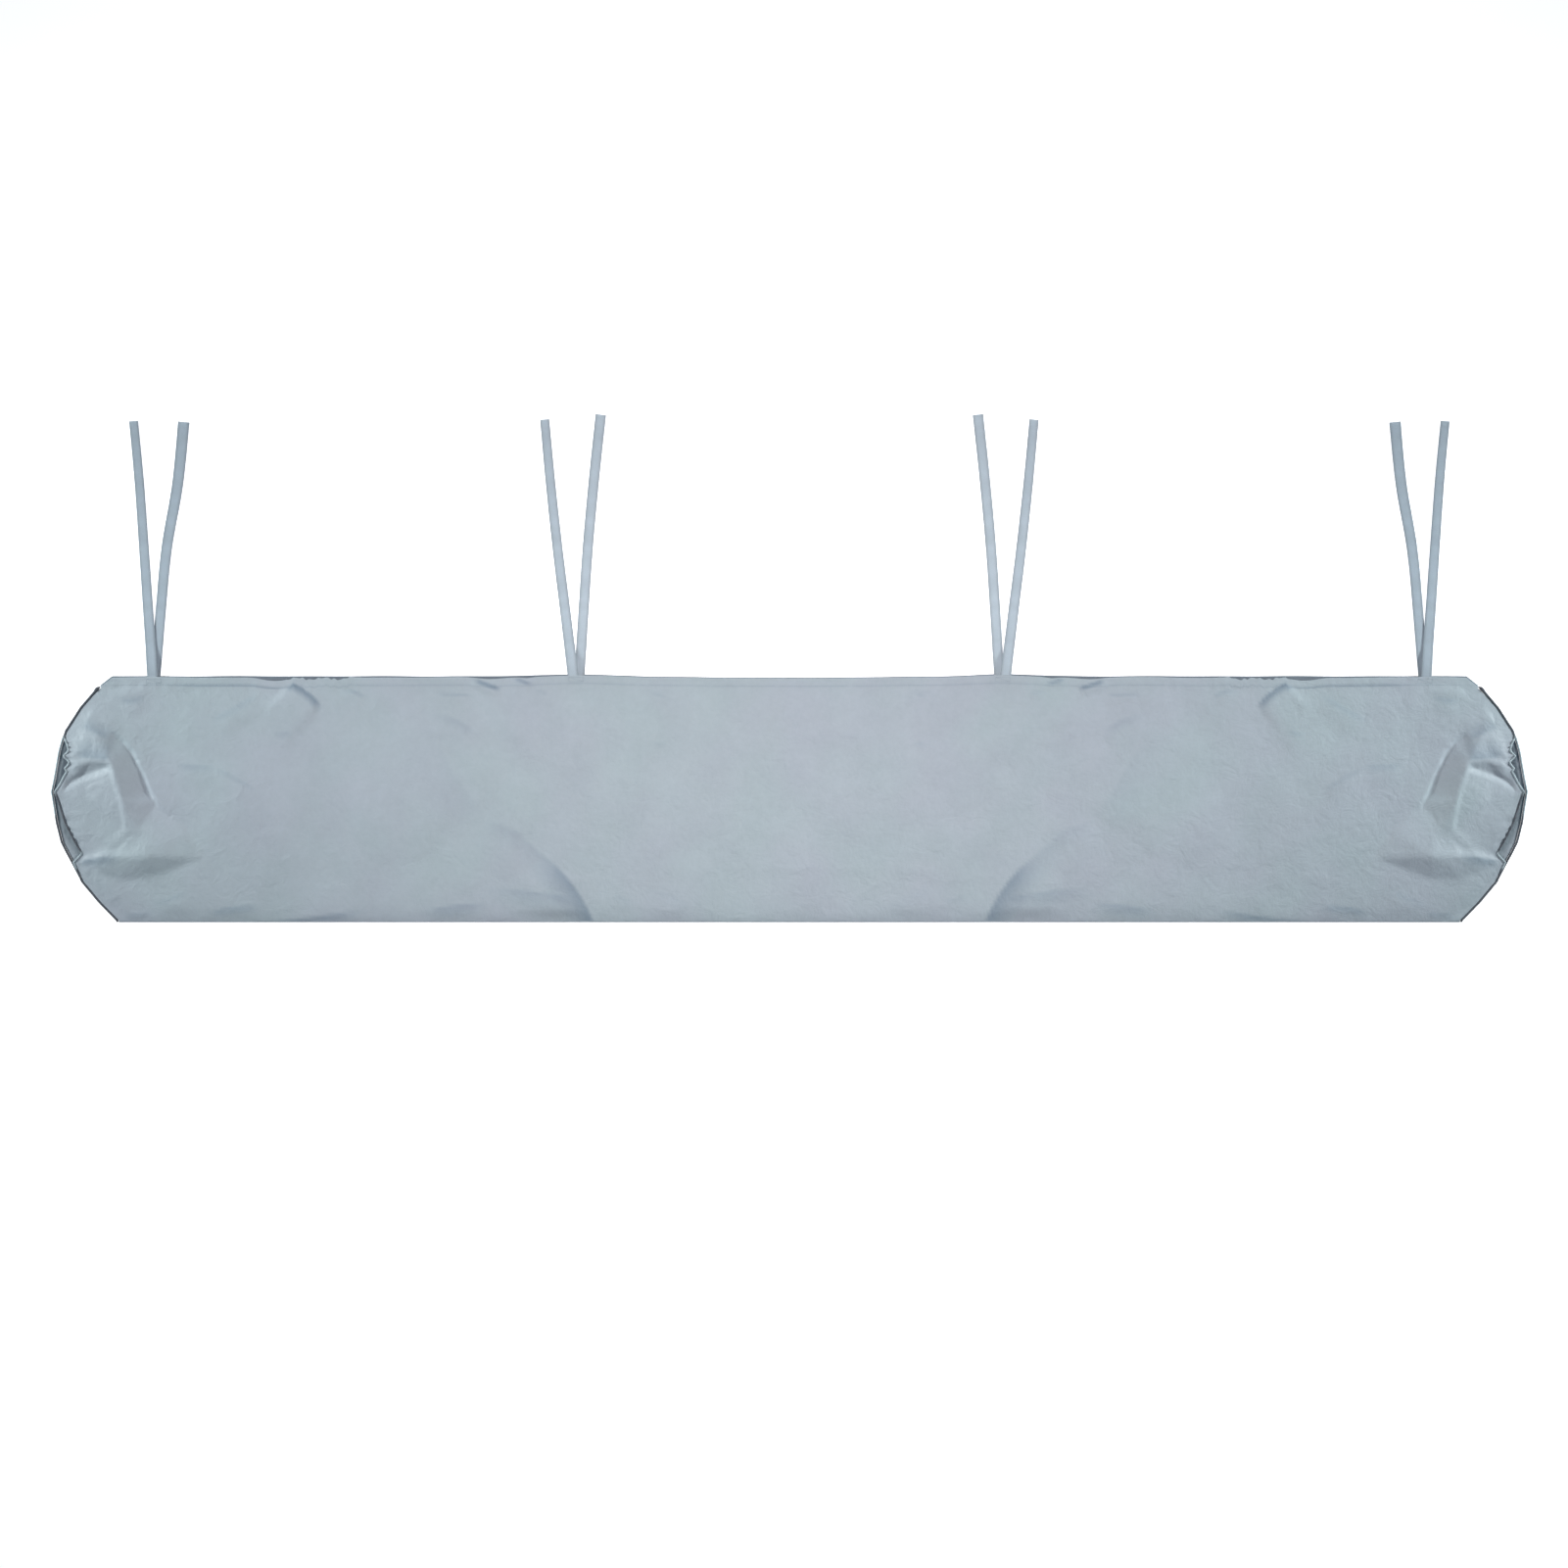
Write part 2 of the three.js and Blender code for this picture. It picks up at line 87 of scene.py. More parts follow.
# Corners of the flat facets that the gathered end has crumpled into: inset, depth, rise
CORNERS = {
    "rim_top": (58, 106, 0.5),
    "shoulder": (102, 135, 7.5),
    "peak": (125, 176, 16.5),
    "ridge_high": (136, 211, 17),
    "ridge_middle": (147, 251, 16),
    "ridge_low": (157, 312, 9.5),
    "ridge_foot": (123, 354, 4.5),
    "rim_foot": (62, 362, 2.5),
    "pleat_rim": (34, 190, 2),
    "pleat_crest": (82, 172, 9),
    "dip_rim": (28, 226, -7),
    "dip_bottom": (62, 204, -5.5),
    "dip_end": (110, 188, 3),
    "tuck_rim": (24, 238, 0),
    "tuck_crest": (68, 212, 0.5),
    "tuck_end": (124, 193, 12.5),
    "rim_middle": (34, 300, -0.5),
    "pocket": (80, 262, 2.5),
    "pocket_high": (126, 213, 12.5),
    "pocket_side": (142, 260, 11.5),
    "pocket_low": (149, 309, 6),
    "pocket_foot": (109, 343, 2.5),
    "valley_start": (84, 90, -1.5),
    "valley_top": (150, 133, -7.5),
    "valley_bend": (167, 153, -8),
    "valley_side": (187, 195, -8),
    "valley_low": (203, 235, -9.5),
    "valley_tip": (217, 259, -5.5),
    "notch_top": (177, 314, 8.5),
    "notch_foot": (131, 355, 3.5),
    "crease_top": (197, 312, 7),
    "crease_foot": (143, 358, 8.5),
    "lower_start": (60, 374, 3),
    "lower_rise": (98, 364, 10),
    "lower_crest": (195, 367, 16.5),
    "lower_tip": (306, 368, 1),
    "lower_toe": (76, 386, -1),
    "lower_heel": (131, 413, 0),
    "lower_sole": (199, 412, 0),
    "plateau_edge": (275, 318, 4),
}

# Facets between the corners, as fans: every two neighbours in a row make a triangle with the
# corner that the row is named after
FANS = {
    "pocket": ("tuck_rim", "rim_middle", "rim_foot", "pocket_foot", "pocket_low", "pocket_side",
               "pocket_high", "tuck_crest", "tuck_rim"),
    "ridge_middle": ("ridge_high", "valley_side", "valley_low", "valley_tip", "notch_top",
                     "ridge_low", "pocket_low", "pocket_side", "ridge_high"),
    "lower_crest": ("crease_foot", "lower_rise", "lower_heel", "lower_sole", "lower_tip",
                    "plateau_edge", "crease_top", "crease_foot"),
    "peak": ("shoulder", "valley_top", "valley_bend", "ridge_high", "tuck_end", "dip_end",
             "pleat_crest", "shoulder"),
    "ridge_foot": ("pocket_foot", "ridge_low", "notch_foot", "lower_rise", "lower_start",
                   "rim_foot", "pocket_foot"),
    "dip_bottom": ("dip_rim", "pleat_crest", "dip_end", "tuck_crest", "tuck_rim", "dip_rim"),
    "notch_top": ("valley_tip", "crease_top", "crease_foot", "notch_foot", "ridge_low"),
    "shoulder": ("valley_top", "valley_start", "rim_top", "pleat_rim", "pleat_crest"),
    "pocket_high": ("tuck_crest", "tuck_end", "ridge_high", "pocket_side"),
    "lower_rise": ("lower_start", "lower_toe", "lower_heel"),
    "crease_foot": ("notch_foot", "lower_rise"),
    "crease_top": ("valley_tip", "plateau_edge"),
    "dip_end": ("tuck_crest", "tuck_end"),
    "dip_rim": ("pleat_rim", "pleat_crest"),
    "pocket_foot": ("pocket_low", "ridge_low"),
    "ridge_high": ("valley_bend", "valley_side"),
}
CRUMPLE_STEP = 2.0
CRUMPLE_BLUR = 2.6
CRUMPLE_START, CRUMPLE_END = -20, 420

# Folds of the front layer: start and end as inset and depth, sideways bow in the middle,
# rise, width on the right and on the left hand of the run, and rounding of the crest
FOLDS = {
    "broad slant": (300, 130, 560, 410, 20, 4, 150, 170, 30),
    "corner bump": (120, 44, 212, 30, -3, 2.6, 18, 26, 4),
    "hem dent": (560, 16, 622, 34, -6, -1.8, 12, 12, 4),
    "upper faint fold": (870, 100, 1000, 148, -6, 1.2, 14, 40, 4),
    "seat line": (1080, 398, 1900, 388, 0, 0.5, 8, 22, 2),
    "lower seat line": (900, 424, 1240, 410, 0, 0.5, 8, 22, 2),
}

# Steps of the front layer, each seen as a shaded slope that ends in a sharp line: start and end
# of the line, its bow, the height of the step, the width of its slope, how far it dies out
# beyond, the shares of the line over which it fades in and out, and how strongly painted shade
# darkens its crease
STEPS = {
    "long slant": (745, 50, 890, 300, 8, 4, 110, 220, 0.7, 0.25, 0.28),
    "slant's shoulder": (868, 290, 975, 326, -3, 2.5, 40, 70, 0.5, 0.3, 0.5),
    "slant's foot": (930, 300, 1050, 410, 0, 2.8, 54, 90, 0.5, 0.4, 0.6),
    "slant's end": (1000, 362, 1103, 500, -12, 5.5, 56, 90, 0.4, 0.02, 1.7),
    "slant's tail": (860, 430, 1064, 452, -6, 2, 36, 50, 0.6, 0.2, 0.85),
    "brow": (130, 138, 58, 102, 2, 2.6, 26, 30, 0.4, 0.2, 1.0),
    "cheek": (128, 172, 44, 164, 0, 2.8, 44, 20, 0.2, 0.35, 1.2),
    "lower fold's start": (52, 374, 150, 362, 0, 1.2, 22, 20, 0.25, 0.45, 1.4),
    "crescent": (134, 44, 198, 38, 4, 1.8, 16, 24, 0.4, 0.4, 1.1),
    "slant near the tapes": (316, 92, 426, 26, 5, 2.0, 16, 34, 0.3, 0.3, 0.75),
    "second slant": (448, 116, 494, 108, 2, 1.2, 16, 30, 0.4, 0.4, 0.7),
    "wavy crease": (252, 176, 338, 180, 2, 1.8, 20, 36, 0.3, 0.3, 0.75),
    "wavy crease's end": (330, 180, 424, 234, -2, 1.4, 14, 34, 0.3, 0.3, 0.6),
    "lower slant": (200, 462, 282, 430, 3, 1.4, 16, 36, 0.3, 0.3, 0.6),
    "bottom crease": (318, 480, 430, 466, -5, 2.0, 18, 30, 0.3, 0.3, 1.4),
    "bottom corner": (140, 488, 216, 478, -3, 1.6, 18, 30, 0.3, 0.3, 0.8),
    "bottom slant": (424, 500, 650, 468, 5, 2.0, 28, 40, 0.3, 0.4, 1.4),
    "bottom patch": (742, 478, 900, 460, -4, 1.6, 28, 40, 0.4, 0.4, 1.1),
    "upper slant": (770, 74, 870, 120, -10, 2, 22, 50, 0.5, 0.3, 0.6),
    "side slant": (1200, 428, 1305, 472, -8, 2, 26, 60, 0.5, 0.3, 0.4),
    "small step": (1140, 446, 1180, 458, -3, 1.4, 16, 20, 0.5, 0.4, 0.75),
    "mid step": (1218, 128, 1246, 140, -2, 1.0, 16, 26, 0.5, 0.4, 0.65),
}

# Puckers right at the hem, in the same terms
PUCKERS = {
    "hem crease": (482, 8, 554, 68, -10, 3.6, 20, 90, 0.15, 0.25, 2.2),
    "pull": (860, 2, 918, 24, -3, 3.4, 12, 16, 0.2, 0.3, 2.5),
    "second pull": (940, 1, 984, 14, -2, 2.4, 10, 14, 0.3, 0.4, 2.1),
    "seam pull": (980, 30, 1016, 38, -2, 1.4, 8, 14, 0.4, 0.4, 0.6),
    "first seam pull": (588, 22, 644, 40, -3, 2.0, 11, 20, 0.5, 0.3, 1.0),
    "seam line": (780, 33, 858, 36, 0, 1.4, 8, 14, 0.3, 0.2, 0.95),
    "last seam pull": (1212, 26, 1258, 46, -3, 1.8, 10, 22, 0.5, 0.3, 0.7),
}

# Slow waves over the whole front layer: waves per metre along and across, phase, height
UNEVENNESS = (
    (2.3, 1.1, 0.3, 0.55), (4.1, -2.7, 1.9, 0.4), (6.7, 3.9, 4.4, 0.28), (9.1, -7.3, 2.7, 0.18),
    (13.7, 6.1, 5.2, 0.11), (17.9, -14.3, 0.8, 0.07),
)

# Where the front hem lies lower than the back one, along each half: inset, width and share of a
# bell curve. Then the most that the bells and a ragged ripple add, and how deep that reaches
HEM_DROPS = ((458, 26, 1), (890, 32, 0.9), (968, 13, 0.6))
WIDE_DROP = 4.0
RAGGED_DROP = 4.2
HEM_REACH = 60

# Each tape's root from the middle, whether it is sewn to the front layer, its reach beyond the
# hem, how far out it has parted from its partner, its sideways sway at the hem and at each
# quarter of its reach, its width at the hem and at the tip as shares of the nominal one, and how
# much paler its colour is
TAPES = {
    "outer_front": (OUTER_PAIR, True, 518, 150, (-3, -12, -21, -30, -42), (1.08, 0.93), 0.0),
    "outer_back": (OUTER_PAIR, False, 516, 0, (3, 13, 25, 47, 60), (1.0, 1.18), 0.0),
    "inner_front": (INNER_PAIR, True, 521, 90, (-6, -22, -38, -52, -64), (1.1, 0.95), 0.8),
    "inner_back": (INNER_PAIR, False, 531, 0, (7, 15, 24, 36, 50), (1.04, 1.08), 1.0),
}
TAPE = 1.2
TAPE_ROOT = 16.0
TAPE_SIDES = 20
SIDES = {"left": -1, "right": 1}

# Points of the sheet: columns across an end, their step as far as the creases reach, and the
# columns from there to the middle
END_COLUMNS = 84
CREASE_STEP = 6.4
CREASED = 1120
MIDDLE_COLUMNS = 24

# The cord's corners in section, the seam's depth and half length, and how far a stitch stands
# above the cloth and its corners
CORD_SIDES = 12
SEAM = HEM - 3.5
SEAM_HALF = 1392
STITCH_LIFT = 0.1
STITCH_SIDES = 6

# The studio: place, aim, size, spread, watts and colour of each lamp
LAMPS = {
    "left_window": ((-4.1, 0.85, 1.2), (-0.7, -0.3, 0), (0.6, 0.6), 0.85, 11.4, (0.98, 1, 0.98)),
    "right_window": ((4.1, 0.85, 1.2), (0.7, -0.3, 0), (0.6, 0.6), 0.85, 11.4, (0.98, 1, 0.98)),
    "overhead": ((0, -0.05, 1.85), (0, -0.25, 0), (1.3, 0.7), 3.14, 27.3, (1, 0.89, 0.87)),
}

# The rest of the studio. The camera stands above the middle of its view, in metres
WORLD_COLOUR = (0.72, 0.97, 1.18, 1)
WORLD_STRENGTH = 0.165
FLOOR_REACH = 30000.0
FLOOR_LEVEL = -0.4
FLOOR_GLOW = 0.72
CAMERA_PLACE = (-0.0109, -0.2348, 12.0)
SENSOR = 36.0


class AwningCoverSizes(PropertyGroup):
    """Sizes of the cover that a user would change."""

    crumple: FloatProperty(
        name="Crumple", description="Height of the folds, as a share of the photographed one",
        default=1.0, min=0.0, max=1.5, subtype="FACTOR")
    cord: FloatProperty(
        name="Cord", description="Diameter of the elastic cord in the ends",
        default=0.0044, min=0.002, max=0.006, unit="LENGTH")
    tape_width: FloatProperty(
        name="Tape Width", description="Width of the tie tapes",
        default=0.020, min=0.010, max=0.030, unit="LENGTH")
    stitch: FloatProperty(
        name="Stitch", description="Distance from one stitch of the hem to the next",
        default=0.0042, min=0.002, max=0.01, unit="LENGTH")
    weave: FloatProperty(
        name="Weave", description="Distance from one yarn of the cloth to the next",
        default=0.0011, min=0.0005, max=0.004, unit="LENGTH")
    view_width: FloatProperty(
        name="View Width", description="Width of the floor that the camera sees",
        default=3.1851, min=1.0, max=10.0, unit="LENGTH")


class AwningCoverColours(PropertyGroup):
    """Colours of the cover and its stage."""

    cloth: FloatVectorProperty(
        name="Cloth", description="Main colour of the coated cloth",
        default=(0.320, 0.394, 0.430), min=0, max=1, subtype="COLOR")
    # Painted shade: the inner face gets a dark colour that stands for the shade inside the sleeve's
    # openings and along the hem's top
    inside: FloatVectorProperty(
        name="Inside", description="Colour of the cloth's inner face",
        default=(0.130, 0.163, 0.198), min=0, max=1, subtype="COLOR")
    cloth_cool: FloatVectorProperty(
        name="Cloth, Cool", description="Cooler colour that drifts over the cloth",
        default=(0.330, 0.382, 0.435), min=0, max=1, subtype="COLOR")
    # Painted shade: the dark bluish colour that the creases, the hem's seam and the hem's ends are
    # darkened towards
    shadowed: FloatVectorProperty(
        name="Cloth, Shadowed", description="Colour of the cloth in its worn creases",
        default=(0.105, 0.165, 0.225), min=0, max=1, subtype="COLOR")
    tape: FloatVectorProperty(
        name="Tape", description="Colour of the woven tapes",
        default=(0.36, 0.44, 0.505), min=0, max=1, subtype="COLOR")
    # A paler colour that some tapes are given
    tape_pale: FloatVectorProperty(
        name="Tape, Pale", description="Colour of the woven tapes where they have faded",
        default=(0.445, 0.53, 0.595), min=0, max=1, subtype="COLOR")
    cord: FloatVectorProperty(
        name="Cord", description="Colour of the elastic cord's cover",
        default=(0.075, 0.088, 0.105), min=0, max=1, subtype="COLOR")
    thread: FloatVectorProperty(
        name="Thread", description="Colour of the sewing thread",
        default=(0.25, 0.31, 0.36), min=0, max=1, subtype="COLOR")
    floor: FloatVectorProperty(
        name="Floor", description="Colour of the floor",
        default=(0.93, 0.93, 0.93), min=0, max=1, subtype="COLOR")


def ease(t):
    """Smooth step: three t squared less two t cubed, held at 0 and 1 outside."""
    t = np.clip(t, 0, 1)
    return t * t * (3 - 2 * t)


def bell(distance, width):
    """Bell curve: e to the power of minus the square of a distance over a width."""
    return np.exp(-((distance / width) ** 2))


def smooth_column(table, k, at):
    """A column of a table as one curve: a cubic between rows, its slope at each row the harmonic
    mean of the slopes on both sides, so that it never overshoots."""
    x, y = table[:, 0], table[:, k]
    slope = np.diff(y) / np.diff(x)
    product = slope[1:] * slope[:-1]
    middle = np.where(product > 0, 2 * product / (slope[1:] + slope[:-1] + 1e-12), 0)
    m = np.concatenate([slope[:1], middle, slope[-1:]])
    i = np.clip(np.searchsorted(x, at, side="right") - 1, 0, len(x) - 2)
    width = x[i + 1] - x[i]
    t = np.clip((at - x[i]) / width, 0, 1)
    start = (1 + 2 * t) * (1 - t) ** 2 * y[i] + t * (1 - t) ** 2 * width * m[i]
    return start + t * t * (3 - 2 * t) * y[i + 1] + t * t * (t - 1) * width * m[i + 1]


def edge_inset(depth, front):
    """Inset of a layer's edge from the tip: straight lines between the outline's rows."""
    inset = np.interp(depth, END_OUTLINE[:, 0], END_OUTLINE[:, INSET])
    extra = np.interp(depth, END_OUTLINE[:, 0], END_OUTLINE[:, FRONT_EXTRA])
    return inset + np.where(front, extra, 0)


def inside_edge(depth, front, inside):
    """Inset of the line at a distance inside the edge: that distance times the length of the
    edge for each unit of depth, added to the edge's inset."""
    slope = (edge_inset(depth + 4, front) - edge_inset(depth - 4, front)) / 8
    return edge_inset(depth, front) + inside * np.hypot(1, slope)


def cloth_edge(depth, front, cord):
    """The cloth stops short of the cord, which starts just below the hem."""
    return inside_edge(depth, front, (cord + GAP) * ease((depth - HEM + 1) / 3))


def blurred(grid, sigma):
    """The grid averaged with a bell curve of sigma cells, along both of its directions."""
    reach = int(3 * sigma) + 1
    bell = np.exp(-0.5 * (np.arange(-reach, reach + 1) / sigma) ** 2)
    bell /= bell.sum()
    for axis in (0, 1):
        pad = [(reach, reach) if a == axis else (0, 0) for a in (0, 1)]
        wide = np.pad(grid, pad, mode="edge")
        count = grid.shape[axis]
        grid = sum(w * np.take(wide, np.arange(k, k + count), axis) for k, w in enumerate(bell))
    return grid


def crumple_grid():
    """Rise of the crumpled end on a regular grid: inside each facet it is the mean of the three
    corners' rises, weighted by the point's shares in the triangle, and the whole is blurred."""
    steps = np.arange(0, DEPTH + CRUMPLE_STEP, CRUMPLE_STEP)
    inset, depth = np.meshgrid(np.arange(CRUMPLE_START, CRUMPLE_END, CRUMPLE_STEP), steps)
    rise = np.zeros_like(inset)
    facets = [(hub, *pair) for hub, rim in FANS.items() for pair in zip(rim, rim[1:])]
    for names in facets:
        (ax, ay, az), (bx, by, bz), (cx, cy, cz) = (CORNERS[name] for name in names)
        area = (by - cy) * (ax - cx) + (cx - bx) * (ay - cy)
        a = ((by - cy) * (inset - cx) + (cx - bx) * (depth - cy)) / area
        b = ((cy - ay) * (inset - cx) + (ax - cx) * (depth - cy)) / area
        inside = (a >= 0) & (b >= 0) & (a + b <= 1)
        rise = np.where(inside, a * az + b * bz + (1 - a - b) * cz, rise)
    return blurred(rise, CRUMPLE_BLUR / CRUMPLE_STEP)


CRUMPLE = crumple_grid()


def crumple_rise(inset, depth):
    """The crumple grid read between its points, by the shares of the four nearest ones."""
    u = np.clip((inset - CRUMPLE_START) / CRUMPLE_STEP, 0, CRUMPLE.shape[1] - 1.001)
    v = np.clip(depth / CRUMPLE_STEP, 0, CRUMPLE.shape[0] - 1.001)
    i, j = u.astype(int), v.astype(int)
    u, v = u - i, v - j
    upper = CRUMPLE[j, i] * (1 - u) + CRUMPLE[j, i + 1] * u
    return upper * (1 - v) + (CRUMPLE[j + 1, i] * (1 - u) + CRUMPLE[j + 1, i + 1] * u) * v


def beside_line(line, inset, depth):
    """Where points lie by a line that bows as a parabola: the share of its straight chord that
    they have reached, and their distance to the right hand of the bowed line."""
    x0, y0, x1, y1, bow = line
    run = np.array([x1 - x0, y1 - y0])
    length = np.hypot(*run)
    along = np.clip(((inset - x0) * run[0] + (depth - y0) * run[1]) / length**2, 0, 1)
    sideways = ((depth - y0) * run[0] - (inset - x0) * run[1]) / length
    return along, sideways - bow * 4 * along * (1 - along)


def fold_rise(fold, inset, depth):
    """One fold: a rounded roof along its line. Its height and its widths fade towards both ends
    as a half sine."""
    rise, right, left, rounding = fold[5:]
    along, sideways = beside_line(fold[:5], inset, depth)
    fade = np.sin(np.pi * along)
    width = np.where(sideways > 0, right, left) * (0.3 + 0.7 * fade)
    distance = np.hypot(sideways, rounding) - rounding
    return rise * fade * np.clip(1 - distance / width, 0, 1) ** 1.3


def step_rise(step, inset, depth):
    """One step: nothing on the left hand of its bowed line; on the right hand it climbs as a
    turned-over parabola to its full height, and dies out beyond. It fades at the line's ends.
    With it comes the painted shade of its crease, which is darkest at the line."""
    rise, slope, beyond, fade_in, fade_out, shadowed = step[5:]
    along, sideways = beside_line(step[:5], inset, depth)
    fade = ease(along / fade_in) * ease((1 - along) / fade_out)
    climb = np.clip(sideways / slope, 0, 1)
    rest = 1 - ease((sideways - slope) / beyond)
    # Painted shade of the crease, darkest at its line and fading across the slope
    tone = shadowed * fade * (1 - climb) * ease((sideways + 4) / 9)
    return rise * fade * climb * (2 - climb) * rest, tone


def painted_crease_shade(x, depth):
    """Painted shade of the front layer, added up: along all its creases, in a narrow bell across
    the hem's seam that is strongest near the ends, and at the hem's own ends."""
    inset = HALF - np.abs(x)
    seam = 0.3 + 0.9 * ease((inset - 230) / 60) * ease((500 - inset) / 60)
    seam = seam * bell(depth - HEM + 2.6, 2) * ease((inset - 150) / 60)
    ends = 1.5 * ease((edge_inset(depth, True) + 2.5 - inset) / 2) * ease((HEM + 4 - depth) / 4)
    steps = (*STEPS.values(), *PUCKERS.values())
    return seam + ends + sum(step_rise(step, inset, depth)[1] for step in steps)


def gather_wave(depth):
    """Ripple that the elastic draws into the front edge: a sine along it that fades out."""
    strength = ease((depth - 116) / 14) * ease((372 - depth) / 40)
    pitch = 21 + 5 * np.sin(depth / 37)
    return 1.5 * strength * np.cos(2 * np.pi * depth / pitch)


def hem_sag(x):
    """How far the hem sags: a bell curve in the middle, less one where the inner tapes pull."""
    return 3 * bell(x, 260) - 4 * bell(np.abs(x) - INNER_PAIR, 90)


def hem_gap(x):
    """How far the front hem's edge lies below the back one's: a little everywhere, more in
    three bell curves along each half, and a ragged ripple beside the first."""
    inset = HALF - np.abs(x)
    wide = sum(share * bell(inset - centre, width) for centre, width, share in HEM_DROPS)
    ragged = np.sin(inset / 4.1) * np.sin(inset / 7.3)
    ragged = ragged * ease((inset - 470) / 20) * ease((640 - inset) / 40)
    near_end = 3.4 * ease((inset - 400) / 40) * ease((620 - inset) / 50)
    calm = 1.1 + near_end + 0.8 * np.sin(inset / 47)
    fade = 1 - ease((inset - 1050) / 200)
    return 1.8 + fade * (calm + WIDE_DROP * wide + RAGGED_DROP * ragged)


def hem_drop(x, depth, front):
    """How far the cloth lies below its straight place: the sag, which dwindles evenly to nothing
    at the bottom, and on the front layer the gap, which dies out over the hem's reach."""
    gap = np.where(front, hem_gap(x), 0) * (1 - ease(depth / HEM_REACH))
    return hem_sag(x) * (1 - depth / DEPTH) + gap


def hem_pucker(x, depth):
    """Puckers on the hem's seam: a sine along it of uneven pitch, in a bell across it."""
    wave = np.sin(2 * np.pi * x / 27 + 2.1 * np.sin(x / 61) + 1.3 * np.sin(x / 23))
    strength = 0.55 + 0.45 * np.sin(x / 83 + 1) * np.sin(x / 190)
    return 0.55 * strength * wave * bell(depth - HEM, 10)


def front_height(x, depth, sizes):
    """Height of the front layer's middle: the rim's height blended into the calm section over
    48 mm, plus facets, folds, steps and slow waves that die out at the edges, plus the gathers
    and the puckers at the hem."""
    inset = HALF - np.abs(x)
    inward = np.clip(inset - cloth_edge(depth, True, sizes.cord / MM), 0, None)
    rim = smooth_column(END_OUTLINE, RIM_HEIGHT, depth)
    calm = smooth_column(FRONT_SECTION, 1, depth)
    swell = crumple_rise(inset, depth)
    swell = swell + sum(fold_rise(fold, inset, depth) for fold in FOLDS.values())
    swell = swell + sum(step_rise(step, inset, depth)[0] for step in STEPS.values())
    for along, across, phase, rise in UNEVENNESS:
        swell = swell + rise * np.sin(2 * np.pi * MM * (along * inset + across * depth) + phase)
    clear = ease(inward / 18) * ease((depth - 6) / 26) * ease((DEPTH - 6 - depth) / 22)
    puckers = hem_pucker(x, depth)
    puckers = puckers + sum(step_rise(step, inset, depth)[0] for step in PUCKERS.values())
    height = rim + (calm - rim) * ease(inward / 48) + sizes.crumple * swell * clear
    return height + puckers * ease(inward / 30) + gather_wave(depth) * np.exp(-inward / 18)


def sleeve_rows():
    """Rows of the sheet from the front hem round the bottom fold to the back hem. Each has a
    depth, a turn that is 0 on the front layer and pi on the back one, and its place along the
    cut cloth."""
    bottom = DEPTH - CLOTH / 2 - FOLD_RADIUS
    hem = np.array([0, 0.5, 1.4, 5, 10, HEM - 4, HEM - 1.6, HEM, HEM + 1.6])
    front = np.concatenate([
        hem, np.arange(HEM + 6, 130, 6), np.arange(130, 250, 4), np.arange(250, bottom - 2, 6),
    ])
    turns = np.linspace(0, np.pi, 7)
    outline = END_OUTLINE[::-1, 0]
    back = np.concatenate([outline[(outline > HEM + 10) & (outline < bottom - 12)], hem[::-2]])
    depth = np.concatenate([front, np.full(turns.size, bottom), back])
    turn = np.concatenate([np.zeros(front.size), turns, np.full(back.size, np.pi)])
    around = bottom + FOLD_RADIUS * turns
    length = np.concatenate([front, around, around[-1] + bottom - back])
    return depth, turn, length


def sleeve_columns(depth, front, cord):
    """Places along X of every column on each row: the end columns spread from the row's own edge
    to the end zone, closer at the edge, the others in even steps, and the second half mirrors
    the first."""
    share = np.linspace(0, 1, END_COLUMNS, endpoint=False) ** 1.05
    edge = cloth_edge(depth, front, cord)[:, None]
    end = edge + (END_ZONE - edge) * share
    creased = np.arange(END_ZONE, CREASED, CREASE_STEP)
    middle = np.concatenate([creased, np.linspace(CREASED, HALF, MIDDLE_COLUMNS)])
    middle = np.broadcast_to(middle, (depth.size, middle.size))
    x = HALF - np.concatenate([end, middle], axis=1)
    return np.concatenate([-x, x[:, -2::-1]], axis=1)


def sleeve_middle(x, depth, turn, sizes):
    """The middle of the sheet: a row of it stands at the front layer's height, on the back
    layer's plane, or on the half circle of the bottom fold, and it lies lower by the hem's drop
    and a slight roughness."""
    rough = 0.5 * np.sin(x / 31) * np.sin(x / 117 + 2) * (1 - depth / DEPTH)
    drop = hem_drop(x, depth, turn == 0) + rough
    y = HEM_Y - depth - FOLD_RADIUS * np.sin(turn) - drop
    z = CLOTH / 2 + FOLD_RADIUS * (1 + np.cos(turn))
    z = np.where(turn == 0, front_height(x, depth, sizes), z)
    return np.stack([x, y, z], axis=-1)


